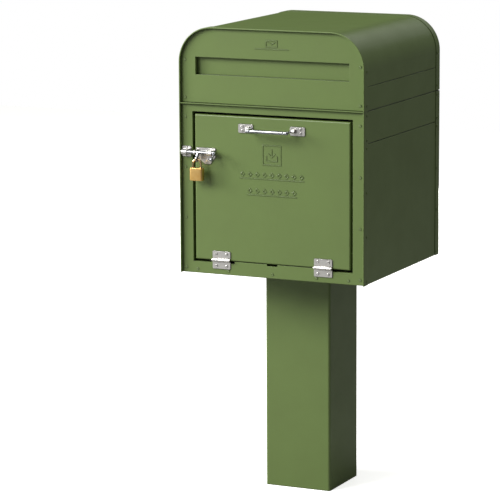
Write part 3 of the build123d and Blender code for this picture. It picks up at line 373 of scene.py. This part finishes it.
# Brushed stainless sheet and bar: bright, with fine lines drawn along its length.
BRUSHED_STAINLESS = Finish(
    name="brushed stainless steel",
    colour="EAE8E4",
    second_colour="DDDAD6",
    metallic=1.0,
    roughness=0.33,
    roughness_spread=0.04,
    blotch_mm=14.0,
    grain_mm=0.5,
    bump_height_mm=0.012,
    bump_strength=0.2,
    edge_mm=0.3,
    # Paler edges: partly wear, partly a painted highlight.
    edge_wear_and_highlight_colour="F2F1EE",
    # Strong painted shade in the recesses, such as the screws' crosses and the gaps by the knuckles.
    painted_shade_strength=0.85,
    painted_shade_reach_mm=1.3,
    stretch=Grain.ALONG_X.value,
)

# Bright chrome plate on cast and turned pieces: almost a mirror, with a few smears.
BRIGHT_CHROME = Finish(
    name="bright chrome plate",
    colour="A9ABAE",
    second_colour="9A9CA0",
    metallic=1.0,
    roughness=0.17,
    roughness_spread=0.04,
    blotch_mm=12.0,
    grain_mm=1.2,
    bump_height_mm=0.02,
    bump_strength=0.12,
    edge_mm=0.3,
)

# Machined brass block: golden, brushed upwards, a little darker where it has been handled.
MACHINED_BRASS = Finish(
    name="machined brass",
    colour="F2C87E",
    second_colour="E6B566",
    metallic=1.0,
    roughness=0.34,
    roughness_spread=0.04,
    blotch_mm=16.0,
    grain_mm=0.4,
    bump_height_mm=0.012,
    bump_strength=0.2,
    edge_mm=0.5,
    # Paler edges: partly wear, partly a painted highlight.
    edge_wear_and_highlight_colour="FFE9BC",
    stretch=Grain.ALONG_Z.value,
)

# Plated hardened-steel wire of the shackle: warm and bright.
PLATED_SHACKLE = Finish(
    name="plated shackle steel",
    colour="E3C799",
    second_colour="CBAE82",
    metallic=1.0,
    roughness=0.16,
    roughness_spread=0.05,
    blotch_mm=6.0,
    grain_mm=0.8,
    bump_height_mm=0.02,
    bump_strength=0.1,
    edge_mm=0.2,
)

# Black sponge rubber of the door's seal: dull, with open pores.
SPONGE_RUBBER = Finish(
    name="black sponge rubber",
    colour="0D0D0D",
    second_colour="161616",
    metallic=0.0,
    roughness=0.88,
    roughness_spread=0.06,
    blotch_mm=8.0,
    grain_mm=0.9,
    bump_height_mm=0.2,
    bump_strength=0.5,
    edge_mm=0.4,
)

# Hot-dip galvanised plate inside the post: grey, patchy and half-matt.
GALVANISED_PLATE = Finish(
    name="galvanised steel plate",
    colour="A9ADB0",
    second_colour="82878B",
    metallic=0.9,
    roughness=0.45,
    roughness_spread=0.12,
    blotch_mm=14.0,
    grain_mm=2.5,
    bump_height_mm=0.1,
    bump_strength=0.2,
    edge_mm=0.5,
)

# Bright zinc-plated bolts and washers: bluish grey and fairly smooth.
ZINC_PLATE = Finish(
    name="bright zinc plate",
    colour="C3C8CE",
    second_colour="ABB0B6",
    metallic=1.0,
    roughness=0.33,
    roughness_spread=0.08,
    blotch_mm=7.0,
    grain_mm=0.9,
    bump_height_mm=0.03,
    bump_strength=0.2,
    edge_mm=0.3,
)


# Modelling helpers


def deselect() -> None:
    """Leave object mode's selection empty."""
    if bpy.context.mode != "OBJECT":
        bpy.ops.object.mode_set(mode="OBJECT")
    bpy.ops.object.select_all(action="DESELECT")


def activate(piece: bpy.types.Object) -> None:
    """Select one piece alone and make it active."""
    deselect()
    piece.select_set(True)
    bpy.context.view_layer.objects.active = piece


def name_new(name: str) -> bpy.types.Object:
    """Name the object that an operator has just added, and return it."""
    piece = bpy.context.active_object
    piece.name = piece.data.name = name
    return piece


def pick(piece: bpy.types.Object, kind: str, test: Any) -> int:
    """Select the vertices, edges or faces that pass a test, in edit mode.

    Args:
        piece: the active piece.
        kind: VERT, EDGE or FACE.
        test: a function of a vertex's place, an edge's two ends, or a face's centre and normal.

    Returns:
        How many elements were selected.
    """
    bpy.ops.object.mode_set(mode="EDIT")
    bpy.ops.mesh.select_mode(type=kind)
    bpy.ops.mesh.select_all(action="DESELECT")
    bpy.ops.object.mode_set(mode="OBJECT")
    mesh, chosen = piece.data, 0
    groups = {"VERT": mesh.vertices, "EDGE": mesh.edges, "FACE": mesh.polygons}
    for element in groups[kind]:
        if kind == "VERT":
            found = test(element.co)
        elif kind == "EDGE":
            a, b = (mesh.vertices[i].co for i in element.vertices)
            found = test(a, b)
        else:
            found = test(element.center, element.normal)
        element.select = bool(found)
        chosen += bool(found)
    bpy.ops.object.mode_set(mode="EDIT")
    return chosen


def settle(piece: bpy.types.Object) -> bpy.types.Object:
    """Put a piece's place, turn and size into its mesh, and return it."""
    activate(piece)
    bpy.ops.object.transform_apply(location=True, rotation=True, scale=True)
    return piece


def modify(piece: bpy.types.Object, kind: str, **settings: Any) -> None:
    """Add a modifier to a piece and apply it.

    Args:
        piece: the piece to change.
        kind: the modifier's type.
        settings: the modifier's properties.
    """
    activate(piece)
    modifier = piece.modifiers.new(kind.lower(), kind)
    for key, value in settings.items():
        setattr(modifier, key, value)
    bpy.ops.object.modifier_apply(modifier=modifier.name)


def smooth(piece: bpy.types.Object, degrees: float = 35.0) -> None:
    """Shade a piece smooth, but keep edges sharper than an angle."""
    activate(piece)
    bpy.ops.object.shade_smooth_by_angle(angle=math.radians(degrees))


def join(pieces: list[bpy.types.Object], name: str) -> bpy.types.Object:
    """Join pieces into one.

    Args:
        pieces: the pieces, which are used up.
        name: the joined piece's name.

    Returns:
        The joined piece.
    """
    deselect()
    for piece in pieces:
        piece.select_set(True)
    bpy.context.view_layer.objects.active = pieces[0]
    if len(pieces) > 1:
        bpy.ops.object.join()
    return name_new(name)


def bar(name: str, start: Vector, end: Vector, radius: float, sides: int = 32) -> bpy.types.Object:
    """Add a round bar between two points.

    Args:
        name: the piece's name.
        start: one end's centre.
        end: the other end's centre.
        radius: the bar's radius.
        sides: how many sides the circle has.

    Returns:
        The bar.
    """
    run = end - start
    deselect()
    bpy.ops.mesh.primitive_cylinder_add(
        vertices=sides, radius=radius, depth=run.length, location=(start + end) / 2
    )
    piece = name_new(name)
    piece.rotation_euler = run.to_track_quat("Z", "Y").to_euler()
    return settle(piece)


def ball(
    name: str, centre: Vector, radius: float, segments: int = 24, rings: int = 16
) -> bpy.types.Object:
    """Add a ball, and return it."""
    deselect()
    bpy.ops.mesh.primitive_uv_sphere_add(
        segments=segments, ring_count=rings, radius=radius, location=centre
    )
    return settle(name_new(name))


def block(name: str, low: Vector, high: Vector) -> bpy.types.Object:
    """Add a box between two corners, and return it."""
    deselect()
    bpy.ops.mesh.primitive_cube_add(size=1.0, location=(low + high) / 2)
    piece = name_new(name)
    piece.scale = high - low
    return settle(piece)


def islands(node: bpy.types.Object) -> list[tuple[Vector, Vector]]:
    """Find the separate solids of a frame node.

    Args:
        node: the frame node, which is left as it is.

    Returns:
        The lowest and highest corner of each solid.
    """
    copy = node.copy()
    copy.data = node.data.copy()
    copy.parent = None
    bpy.context.collection.objects.link(copy)
    activate(copy)
    bpy.ops.object.mode_set(mode="EDIT")
    bpy.ops.mesh.select_all(action="SELECT")
    bpy.ops.mesh.remove_doubles(threshold=0.002 * MM)
    bpy.ops.mesh.separate(type="LOOSE")
    bpy.ops.object.mode_set(mode="OBJECT")
    found = []
    for part in list(bpy.context.selected_objects):
        corners = [v.co.copy() for v in part.data.vertices]
        low = Vector([min(c[i] for c in corners) for i in range(3)])
        high = Vector([max(c[i] for c in corners) for i in range(3)])
        found.append((low, high))
        bpy.data.objects.remove(part)
    return found


# Fasteners


def domed_head(name: str, radius: float, height: float, crown: float, sides: int) -> bpy.types.Object:
    """Model a round head with a domed rim, standing on z = 0.

    Args:
        name: the head's name.
        radius: its radius.
        height: its height.
        crown: how far in the dome starts.
        sides: how many sides the circle has.

    Returns:
        The head, in object mode.
    """
    deselect()
    bpy.ops.mesh.primitive_cylinder_add(
        vertices=sides, radius=radius, depth=height, location=(0, 0, height / 2)
    )
    head = settle(name_new(name))
    pick(head, "EDGE", lambda a, b: min(a.z, b.z) > height * 0.9)
    bpy.ops.mesh.bevel(offset=crown, segments=4, affect="EDGES")
    bpy.ops.object.mode_set(mode="OBJECT")
    return head


@dataclass
class PanScrew:
    """A pan-head screw with a cross recess. Its head stands on z = 0 and faces +Z."""

    head_radius: float = 2.4 * MM
    head_height: float = 1.0 * MM
    crown: float = 0.55 * MM
    recess_length: float = 2.7 * MM
    recess_width: float = 0.62 * MM
    recess_depth: float = 0.55 * MM
    recess_turn: float = math.radians(20)

    def build(self, shank_radius: float, shank_length: float) -> bpy.types.Object:
        """Model the screw.

        Args:
            shank_radius: radius of the shank.
            shank_length: how far the shank runs behind the head.

        Returns:
            The screw, at the origin.
        """
        head = domed_head("screw head", self.head_radius, self.head_height, self.crown, 28)
        top = self.head_height
        for turn in (0.0, math.pi / 2):
            half = Vector((self.recess_length / 2, self.recess_width / 2, self.recess_depth))
            cutter = block("recess", -half + Vector((0, 0, top)), half + Vector((0, 0, top)))
            cutter.rotation_euler.z = turn + self.recess_turn
            settle(cutter)
            modify(head, "BOOLEAN", object=cutter, operation="DIFFERENCE", solver="EXACT")
            bpy.data.objects.remove(cutter)
        shank = bar("screw shank", Vector((0, 0, 0)), Vector((0, 0, -shank_length)), shank_radius, 12)
        screw = join([head, shank], "screw")
        smooth(screw)
        return screw


@dataclass
class BlindRivet:
    """A domed blind rivet with the dimple that its mandrel leaves. It stands on z = 0 and faces +Z."""

    head_radius: float = 2.5 * MM
    head_height: float = 0.9 * MM
    crown: float = 0.7 * MM
    dimple_inset: float = 0.75 * MM
    dimple_depth: float = 0.35 * MM
    dimple_taper: float = 0.7

    def build(self, shank_radius: float, shank_length: float) -> bpy.types.Object:
        """Model the rivet.

        Args:
            shank_radius: radius of the shank.
            shank_length: how far the shank runs behind the head.

        Returns:
            The rivet, at the origin.
        """
        head = domed_head("rivet head", self.head_radius, self.head_height, self.crown, 24)
        top = self.head_height
        pick(head, "FACE", lambda centre, normal: normal.z > 0.99 and centre.z > top * 0.9)
        bpy.ops.mesh.inset(thickness=self.dimple_inset)
        bpy.ops.mesh.extrude_region_move(TRANSFORM_OT_translate={"value": (0, 0, -self.dimple_depth)})
        taper = self.dimple_taper
        bpy.ops.transform.resize(value=(taper, taper, 1.0), center_override=(0, 0, 0))
        bpy.ops.object.mode_set(mode="OBJECT")
        shank = bar("rivet shank", Vector((0, 0, 0)), Vector((0, 0, -shank_length)), shank_radius, 12)
        rivet = join([head, shank], "rivet")
        smooth(rivet, 50.0)
        return rivet


@dataclass(frozen=True)
class FastenerRow:
    """Fasteners that stand for one frame node: the node, its body, its slot and the way they face."""

    node: str
    body: str
    slot: str
    facing: Facing | None


class Fasteners:
    """All screws and rivets, each modelled once and copied to every place in the frame."""

    SHANK_RADIUS = 1.5 * MM

    ROWS: dict[type, tuple[FastenerRow, ...]] = {
        PanScrew: (
            FastenerRow("hinge_frame_screws", "cabinet", "stainless", Facing.FRONT),
            FastenerRow("hinge_door_screws", "door", "stainless", Facing.FRONT),
            FastenerRow("handle_screws", "door", "stainless", Facing.FRONT),
            FastenerRow("latch_screws", "door", "stainless", Facing.FRONT),
            FastenerRow("mail_hinge_frame_screws", "cabinet", "stainless", Facing.BACK),
            FastenerRow("mail_hinge_door_screws", "mail_door", "stainless", Facing.BACK),
        ),
        BlindRivet: (
            FastenerRow("lower_face_rivets", "cabinet", "green_paint", Facing.FRONT),
            FastenerRow("upper_face_rivets", "cabinet", "green_paint", Facing.FRONT),
            FastenerRow("module_rivets", "cabinet", "green_paint", Facing.UP),
            FastenerRow("lower_wrap_rivets", "cabinet", "green_paint", None),
            FastenerRow("lower_back_rivets", "cabinet", "green_paint", None),
            FastenerRow("upper_wrap_rivets", "cabinet", "green_paint", None),
        ),
    }

    def build(self, frame: dict[str, Any]) -> list[bpy.types.Object]:
        """Model every row of fasteners.

        Args:
            frame: the loaded frame.

        Returns:
            One piece for each frame node that is replaced.
        """
        made = [
            self.row(frame, row, style())
            for style, rows in self.ROWS.items()
            for row in rows
        ]
        made.append(self.keeper_screws(frame))
        return made

    def keeper_screws(self, frame: dict[str, Any]) -> bpy.types.Object:
        """The keeper's two screws, whose heads are smaller."""
        row = FastenerRow("keeper_screws", "cabinet", "stainless", Facing.FRONT)
        return self.row(frame, row, PanScrew(head_radius=2.0 * MM, recess_length=2.3 * MM))

    def row(self, frame: dict[str, Any], row: FastenerRow, style: Any) -> bpy.types.Object:
        """Copy one fastener to each of a node's solids.

        Args:
            frame: the loaded frame.
            row: what the fasteners stand for.
            style: the fastener's own builder.

        Returns:
            The fasteners, joined.
        """
        places = islands(frame["nodes"][row.node])
        copies = []
        pattern = None
        for low, high in places:
            facing = row.facing or (Facing.RIGHT if low.x > 0 else Facing.LEFT)
            normal = facing.normal
            tip = Vector([high[i] if normal[i] > 0.5 else low[i] for i in range(3)])
            centre = (low + high) / 2
            span = abs((high - low).dot(normal))
            if pattern is None:
                pattern = style.build(self.SHANK_RADIUS, span - style.head_height)
            copy = pattern.copy()
            copy.data = pattern.data.copy()
            bpy.context.collection.objects.link(copy)
            copy.rotation_euler = Euler(facing.value)
            along = tip.dot(normal) * normal - normal * style.head_height
            copy.location = centre - centre.dot(normal) * normal + along
            copies.append(settle(copy))
        bpy.data.objects.remove(pattern)
        piece = join(copies, row.node + "_detailed")
        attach(piece, row.body)
        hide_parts(row.node)
        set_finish(piece, row.slot)
        LOG.info("%s: %d fasteners", row.node, len(places))
        return piece


# Hardware


@dataclass
class PullHandle:
    """The folding pull: a stepped grip between two arms, drawn around the frame's own bail."""

    arm_radius: float = 2.4 * MM
    grip_radius: float = 3.3 * MM
    neck_radius: float = 2.5 * MM
    collar_radius: float = 3.4 * MM
    collar_length: float = 2.6 * MM
    neck_length: float = 2.2 * MM
    pin_radius: float = 2.0 * MM
    arm_inset: float = 25.1 * MM
    voxel: float = 0.45 * MM

    def build(self, frame: dict[str, Any]) -> bpy.types.Object:
        """Model the bail on the frame's hinge axis.

        Args:
            frame: the loaded frame.

        Returns:
            The bail, which rides on its own body.
        """
        low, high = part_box("handle_bail")
        pivot = joint_place(frame, "handle_hinge")
        grip = Vector((0, low.y + self.collar_radius, low.z + self.collar_radius))
        arm_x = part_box("handle_plates")[1].x - self.arm_inset
        parts = [self.grip(arm_x, grip)]
        for side in (-1, 1):
            knee = Vector((side * arm_x, grip.y, grip.z))
            root = Vector((side * arm_x, pivot.y, pivot.z))
            pin_end = Vector((side * high.x, pivot.y, pivot.z))
            parts.append(bar("arm", root, knee, self.arm_radius))
            parts.append(bar("pin", root, pin_end, self.pin_radius))
            parts.append(ball("knee", knee, self.collar_radius * 0.97))
            parts.append(ball("root", root, self.arm_radius * 1.05))
        bail = join(parts, "handle_bail_detailed")
        modify(bail, "REMESH", mode="VOXEL", voxel_size=self.voxel, use_smooth_shade=True)
        modify(bail, "SMOOTH", factor=0.5, iterations=4)
        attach(bail, "handle")
        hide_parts("handle_bail")
        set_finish(bail, "chrome_plate")
        return bail

    def grip(self, arm_x: float, centre: Vector) -> bpy.types.Object:
        """Model the grip: a bar with a neck and a collar stepped near each end.

        Args:
            arm_x: half the length between the arms.
            centre: the grip's middle.

        Returns:
            The grip, lying along X.
        """
        length = 2 * (arm_x - self.neck_length - self.collar_length - self.arm_radius)
        deselect()
        bpy.ops.mesh.primitive_cylinder_add(
            vertices=48,
            radius=self.grip_radius,
            depth=length,
            location=centre,
            rotation=(0, math.radians(90), 0),
        )
        piece = settle(name_new("grip"))
        for side in (-1, 1):
            end = centre.x + side * length / 2
            pick(piece, "FACE", lambda c, n, e=end: abs(c.x - e) < NEAR and abs(n.x) > 0.9)
            self.step(centre, self.neck_radius / self.grip_radius, 0.0)
            self.step(centre, 1.0, side * self.neck_length)
            self.step(centre, self.collar_radius / self.neck_radius, 0.0)
            self.step(centre, 1.0, side * (self.collar_length + self.arm_radius))
            bpy.ops.object.mode_set(mode="OBJECT")
        return piece

    def step(self, centre: Vector, scale: float, run: float) -> None:
        """Extrude the picked end face by a run along X, or to a new radius.

        Args:
            centre: a point on the grip's axis.
            scale: the new radius over the old one.
            run: how far the face moves along X.
        """
        bpy.ops.mesh.extrude_region_move(TRANSFORM_OT_translate={"value": (run, 0, 0)})
        bpy.ops.transform.resize(value=(1.0, scale, scale), center_override=centre)


@dataclass
class PadlockBody:
    """The padlock's block: rounded sides and rims, two shackle wells and the key plug's mouth."""

    side_round: float = 3.6 * MM
    rim_round: float = 0.7 * MM
    well_clearance: float = 0.15 * MM
    mouth_clearance: float = 0.05 * MM

    def build(self, frame: dict[str, Any]) -> bpy.types.Object:
        """Model the block in the frame node's own box.

        Args:
            frame: the loaded frame; not used.

        Returns:
            The block, which rides on the padlock.
        """
        low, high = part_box("padlock_body")
        body = block("padlock_body_detailed", low, high)
        pick(body, "EDGE", lambda a, b: abs(a.z - b.z) > NEAR)
        bpy.ops.mesh.bevel(offset=self.side_round, segments=8, affect="EDGES")
        pick(body, "EDGE", lambda a, b: abs(a.z - b.z) < NEAR)
        bpy.ops.mesh.bevel(offset=self.rim_round, segments=4, affect="EDGES")
        bpy.ops.object.mode_set(mode="OBJECT")
        for cutter in self.cutters(low, high):
            modify(body, "BOOLEAN", object=cutter, operation="DIFFERENCE", solver="EXACT")
            bpy.data.objects.remove(cutter)
        smooth(body, 40.0)
        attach(body, "padlock")
        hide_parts("padlock_body")
        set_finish(body, "brass")
        return body

    def cutters(self, low: Vector, high: Vector) -> list[bpy.types.Object]:
        """Make the bars that cut the wells and the plug's mouth.

        Args:
            low: the block's lowest corner.
            high: the block's highest corner.

        Returns:
            Three round bars.
        """
        wire_low, wire_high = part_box("padlock_shackle")
        radius = (wire_high.y - wire_low.y) / 2
        middle = (low.y + high.y) / 2
        cutters = []
        for x in (wire_low.x + radius, wire_high.x - radius):
            top, bottom = Vector((x, middle, high.z + MM)), Vector((x, middle, wire_low.z - MM))
            cutters.append(bar("well", top, bottom, radius + self.well_clearance))
        plug_low, plug_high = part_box("padlock_plug")
        centre = (plug_low + plug_high) / 2
        under, over = centre.copy(), centre.copy()
        under.z, over.z = low.z - MM, plug_high.z
        mouth_radius = (plug_high.x - plug_low.x) / 2 + self.mouth_clearance
        cutters.append(bar("mouth", under, over, mouth_radius))
        return cutters


@dataclass
class LatchKnob:
    """The bolt's lever: a collar on the rod, a tapered stem and a turned ball."""

    stem_tip: float = 1.2 * MM
    stem_root: float = 2.0 * MM
    ball_radius: float = 3.5 * MM
    collar_half_width: float = 2.0 * MM
    ball_segments: int = 32
    ball_rings: int = 20
    collar_round: float = 0.6 * MM

    def build(self, frame: dict[str, Any]) -> bpy.types.Object:
        """Model the lever in the frame node's own box.

        Args:
            frame: the loaded frame; not used.

        Returns:
            The lever, which rides on the bolt.
        """
        low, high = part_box("latch_knob")
        rod_low, rod_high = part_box("latch_rod")
        hub = (rod_low + rod_high) / 2
        hub.x = (low.x + high.x) / 2
        tip = Vector((hub.x, low.y + self.ball_radius, low.z + self.ball_radius))
        collar, stem = self.collar(hub, high.z - hub.z), self.stem(hub, tip)
        end = ball("ball", tip, self.ball_radius, self.ball_segments, self.ball_rings)
        knob = join([collar, stem, end], "latch_knob_detailed")
        smooth(knob, 40.0)
        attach(knob, "bolt")
        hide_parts("latch_knob")
        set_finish(knob, "chrome_plate")
        return knob

    def stem(self, hub: Vector, tip: Vector) -> bpy.types.Object:
        """Model the tapered stem from the rod's axis to the ball, and return it."""
        run = tip - hub
        deselect()
        bpy.ops.mesh.primitive_cone_add(
            vertices=28,
            radius1=self.stem_root,
            radius2=self.stem_tip,
            depth=run.length,
            location=(hub + tip) / 2,
        )
        stem = name_new("stem")
        stem.rotation_euler = run.to_track_quat("Z", "Y").to_euler()
        return settle(stem)

    def collar(self, hub: Vector, radius: float) -> bpy.types.Object:
        """Model the collar with rounded rims, and return it."""
        reach = Vector((self.collar_half_width, 0, 0))
        collar = bar("collar", hub - reach, hub + reach, radius)
        pick(collar, "EDGE", lambda a, b: abs(a.x - b.x) < NEAR)
        bpy.ops.mesh.bevel(offset=self.collar_round, segments=3, affect="EDGES")
        bpy.ops.object.mode_set(mode="OBJECT")
        return collar


@dataclass
class DoorSeal:
    """The sponge seal behind the door: a ring with a rounded front, in the frame node's own box."""

    width: float = 6.0 * MM
    corner_round: float = 0.45 * MM

    def build(self, frame: dict[str, Any]) -> bpy.types.Object:
        """Model the ring.

        Args:
            frame: the loaded frame; not used.

        Returns:
            The seal, which rides on the cabinet.
        """
        low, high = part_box("door_gasket")
        deselect()
        bpy.ops.mesh.primitive_plane_add(
            size=1.0,
            location=((low.x + high.x) / 2, high.y, (low.z + high.z) / 2),
            rotation=(math.radians(90), 0, 0),
        )
        seal = name_new("door_seal_detailed")
        seal.scale = (high.x - low.x, high.z - low.z, 1.0)
        settle(seal)
        bpy.ops.object.mode_set(mode="EDIT")
        bpy.ops.mesh.select_all(action="SELECT")
        bpy.ops.mesh.inset(thickness=self.width)
        bpy.ops.mesh.delete(type="FACE")
        bpy.ops.mesh.select_all(action="SELECT")
        bpy.ops.mesh.extrude_region_move(TRANSFORM_OT_translate={"value": (0, low.y - high.y, 0)})
        bpy.ops.mesh.select_all(action="SELECT")
        bpy.ops.mesh.normals_make_consistent(inside=False)
        pick(seal, "EDGE", lambda a, b: max(a.y, b.y) < low.y + NEAR)
        bpy.ops.mesh.bevel(offset=self.corner_round, segments=3, affect="EDGES")
        bpy.ops.object.mode_set(mode="OBJECT")
        smooth(seal, 60.0)
        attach(seal, "cabinet")
        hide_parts("door_gasket")
        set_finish(seal, "rubber")
        return seal


def joint_place(frame: dict[str, Any], name: str) -> Vector:
    """A joint's place in the frame, by its name."""
    joint = next(j for j in frame["joints"] if j["name"] == name)
    return Vector(joint["pos_m"])


# Finishes on the frame


class Dressing:
    """The finish of every record slot, put on the frame's nodes and on the new pieces."""

    SLOTS: dict[str, Finish] = {
        "green_paint": OLIVE_POWDER_COAT,
        "stainless": BRUSHED_STAINLESS,
        "chrome_plate": BRIGHT_CHROME,
        "brass": MACHINED_BRASS,
        "shackle_steel": PLATED_SHACKLE,
        "rubber": SPONGE_RUBBER,
    }

    BARE: dict[str, Finish] = {
        "post_base_plate": GALVANISED_PLATE,
        "post_top_plate": GALVANISED_PLATE,
        "mount_bolts": ZINC_PLATE,
        "mount_washers": ZINC_PLATE,
        "mount_nuts": ZINC_PLATE,
    }

    def __init__(self) -> None:
        """Build each finish once."""
        finishes = {f.name: f for f in (*self.SLOTS.values(), *self.BARE.values())}
        self.materials = {name: finish.build() for name, finish in finishes.items()}

    def wear(self, piece: bpy.types.Object, finish: Finish) -> None:
        """Give a piece one finish and no other."""
        piece.data.materials.clear()
        piece.data.materials.append(self.materials[finish.name])

    def dress(self, frame: dict[str, Any], pieces: list[bpy.types.Object]) -> None:
        """Put the finishes on.

        Args:
            frame: the loaded frame.
            pieces: the new pieces, which name their slots.
        """
        slots = {p["node"]: p["material_slot"] for p in frame["record"]["subparts"]}
        for name, node in frame["nodes"].items():
            self.wear(node, self.BARE.get(name) or self.SLOTS[slots[name]])
        for piece in pieces:
            self.wear(piece, self.SLOTS[piece["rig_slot"]])
        LOG.info("dressed %d frame nodes and %d new pieces", len(frame["nodes"]), len(pieces))


# Studio


@dataclass(frozen=True)
class Softbox:
    """A square area light that looks at one point."""

    name: str
    place: tuple[float, float, float]
    size: float
    watts: float
    aim: tuple[float, float, float] = (0.0, 0.0, 0.55)

    def build(self) -> None:
        """Add the light."""
        deselect()
        bpy.ops.object.light_add(type="AREA", location=self.place)
        light = name_new(self.name)
        light.data.shape = "SQUARE"
        light.data.size = self.size
        light.data.energy = self.watts
        light.visible_camera = False
        look = Vector(self.aim) - Vector(self.place)
        light.rotation_euler = look.to_track_quat("-Z", "Y").to_euler()


@dataclass(frozen=True)
class Viewpoint:
    """The camera: a point to look at, and the direction, distance and lens to see it with."""

    aim: tuple[float, float, float] = (-0.122, 0.0, 0.4145)
    azimuth: float = 25.23
    elevation: float = 10.09
    tilt: float = -0.3
    distance: float = 5.177
    lens_mm: float = 206.3

    def build(self) -> None:
        """Add the camera and make it the scene's own."""
        turn, rise = math.radians(self.azimuth), math.radians(self.elevation)
        back = Vector(
            (math.sin(turn) * math.cos(rise), -math.cos(turn) * math.cos(rise), math.sin(rise))
        )
        deselect()
        bpy.ops.object.camera_add(location=Vector(self.aim) + back * self.distance)
        camera = name_new("camera")
        camera.rotation_mode = "QUATERNION"
        level = Euler((math.pi / 2 - rise, 0.0, turn)).to_quaternion()
        camera.rotation_quaternion = level @ Quaternion((0, 0, 1), math.radians(self.tilt))
        camera.data.lens = self.lens_mm
        camera.data.sensor_width = 36.0
        bpy.context.scene.camera = camera


@dataclass(frozen=True)
class Flag:
    """An upright black card that only reflections see, which keeps a glancing face dark."""

    name: str
    place: tuple[float, float, float]
    turn: float
    width: float
    height: float = 1.6
    colour: str = "0A0A0A"

    def build(self) -> None:
        """Add the card. At a turn of 0 it faces along Y."""
        deselect()
        heading = (math.radians(90), 0, math.radians(self.turn))
        bpy.ops.mesh.primitive_plane_add(size=1.0, location=self.place, rotation=heading)
        card = name_new(self.name)
        card.scale = (self.width, self.height, 1.0)
        settle(card)
        material = bpy.data.materials.new(self.name)
        tree = cleared_tree(material)
        black = add_node(tree, "ShaderNodeBsdfDiffuse", {"Color": linear(self.colour)})
        add_node(tree, "ShaderNodeOutputMaterial", None, {"Surface": black.outputs["BSDF"]})
        card.data.materials.append(material)
        card.visible_camera = card.visible_shadow = card.visible_diffuse = False


@dataclass
class Studio:
    """A pale floor, a pale surround, soft lights and black flags."""

    floor_size: float = 9.0
    floor_colour: str = "F7F7F5"
    floor_glow: float = 0.72
    bounce_colour: str = "8E8E8C"
    fill_strength: float = 0.17
    flags: tuple[Flag, ...] = (
        Flag("right flag", (1.9, 1.2, 0.7), 70.0, 3.6),
        Flag("back flag", (-1.3, 2.6, 1.3), 25.0, 4.0),
    )
    softboxes: tuple[Softbox, ...] = (
        Softbox("key", (-2.4, -3.1, 3.0), 2.2, 205.0),
        Softbox("left strip", (-3.4, -1.5, 1.7), 1.3, 155.0),
        Softbox("top fill", (0.9, -0.3, 4.1), 2.0, 52.0),
        Softbox("back fill", (-1.2, 3.3, 0.45), 0.7, 30.0, (0.0, 0.17, 0.5)),
        Softbox("back rim", (0.2, 3.7, 2.4), 1.6, 8.0),
    )

    def build(self) -> None:
        """Set the stage up."""
        self.floor()
        self.surround()
        for piece in (*self.flags, *self.softboxes):
            piece.build()
        bpy.context.scene.view_settings.view_transform = "Standard"
        Viewpoint().build()

    def floor(self) -> None:
        """Lay the floor: a matt pale sheet that glows a little, so that it stays near white."""
        deselect()
        bpy.ops.mesh.primitive_plane_add(size=self.floor_size, location=(0, 0, 0))
        floor = name_new("floor")
        material = bpy.data.materials.new("pale floor")
        tree = cleared_tree(material)
        pale = linear(self.floor_colour)
        rays = add_node(tree, "ShaderNodeLightPath")
        matt = add_node(tree, "ShaderNodeBsdfDiffuse", {"Color": pale})
        glow = add_node(tree, "ShaderNodeEmission", {"Color": pale, "Strength": self.floor_glow})
        seen = add_node(
            tree, "ShaderNodeAddShader", None, {0: matt.outputs["BSDF"], 1: glow.outputs["Emission"]}
        )
        dim = add_node(tree, "ShaderNodeBsdfDiffuse", {"Color": linear(self.bounce_colour)})
        both = add_node(
            tree,
            "ShaderNodeMixShader",
            None,
            {0: rays.outputs["Is Camera Ray"], 1: dim.outputs["BSDF"], 2: seen.outputs["Shader"]},
        )
        add_node(tree, "ShaderNodeOutputMaterial", None, {"Surface": both.outputs["Shader"]})
        floor.data.materials.append(material)

    def surround(self) -> None:
        """Light the surround evenly, and show it white."""
        world = bpy.data.worlds.new("surround")
        tree = cleared_tree(world)
        white = linear("FFFFFF")
        rays = add_node(tree, "ShaderNodeLightPath")
        dim = add_node(
            tree, "ShaderNodeBackground", {"Color": white, "Strength": self.fill_strength}
        )
        seen = add_node(tree, "ShaderNodeBackground", {"Color": white, "Strength": 1.0})
        both = add_node(
            tree,
            "ShaderNodeMixShader",
            None,
            {
                0: rays.outputs["Is Camera Ray"],
                1: dim.outputs["Background"],
                2: seen.outputs["Background"],
            },
        )
        add_node(tree, "ShaderNodeOutputWorld", None, {"Surface": both.outputs["Shader"]})
        bpy.context.scene.world = world


def main() -> None:
    """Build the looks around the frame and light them."""
    logging.basicConfig(level=logging.INFO, format="%(name)s: %(message)s")
    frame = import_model()
    pieces = Fasteners().build(frame)
    for maker in (PullHandle(), PadlockBody(), LatchKnob(), DoorSeal()):
        pieces.append(maker.build(frame))
        LOG.info("%s: %d faces", pieces[-1].name, len(pieces[-1].data.polygons))
    Dressing().dress(frame, pieces)
    Studio().build()


if __name__ == "__main__":
    main()
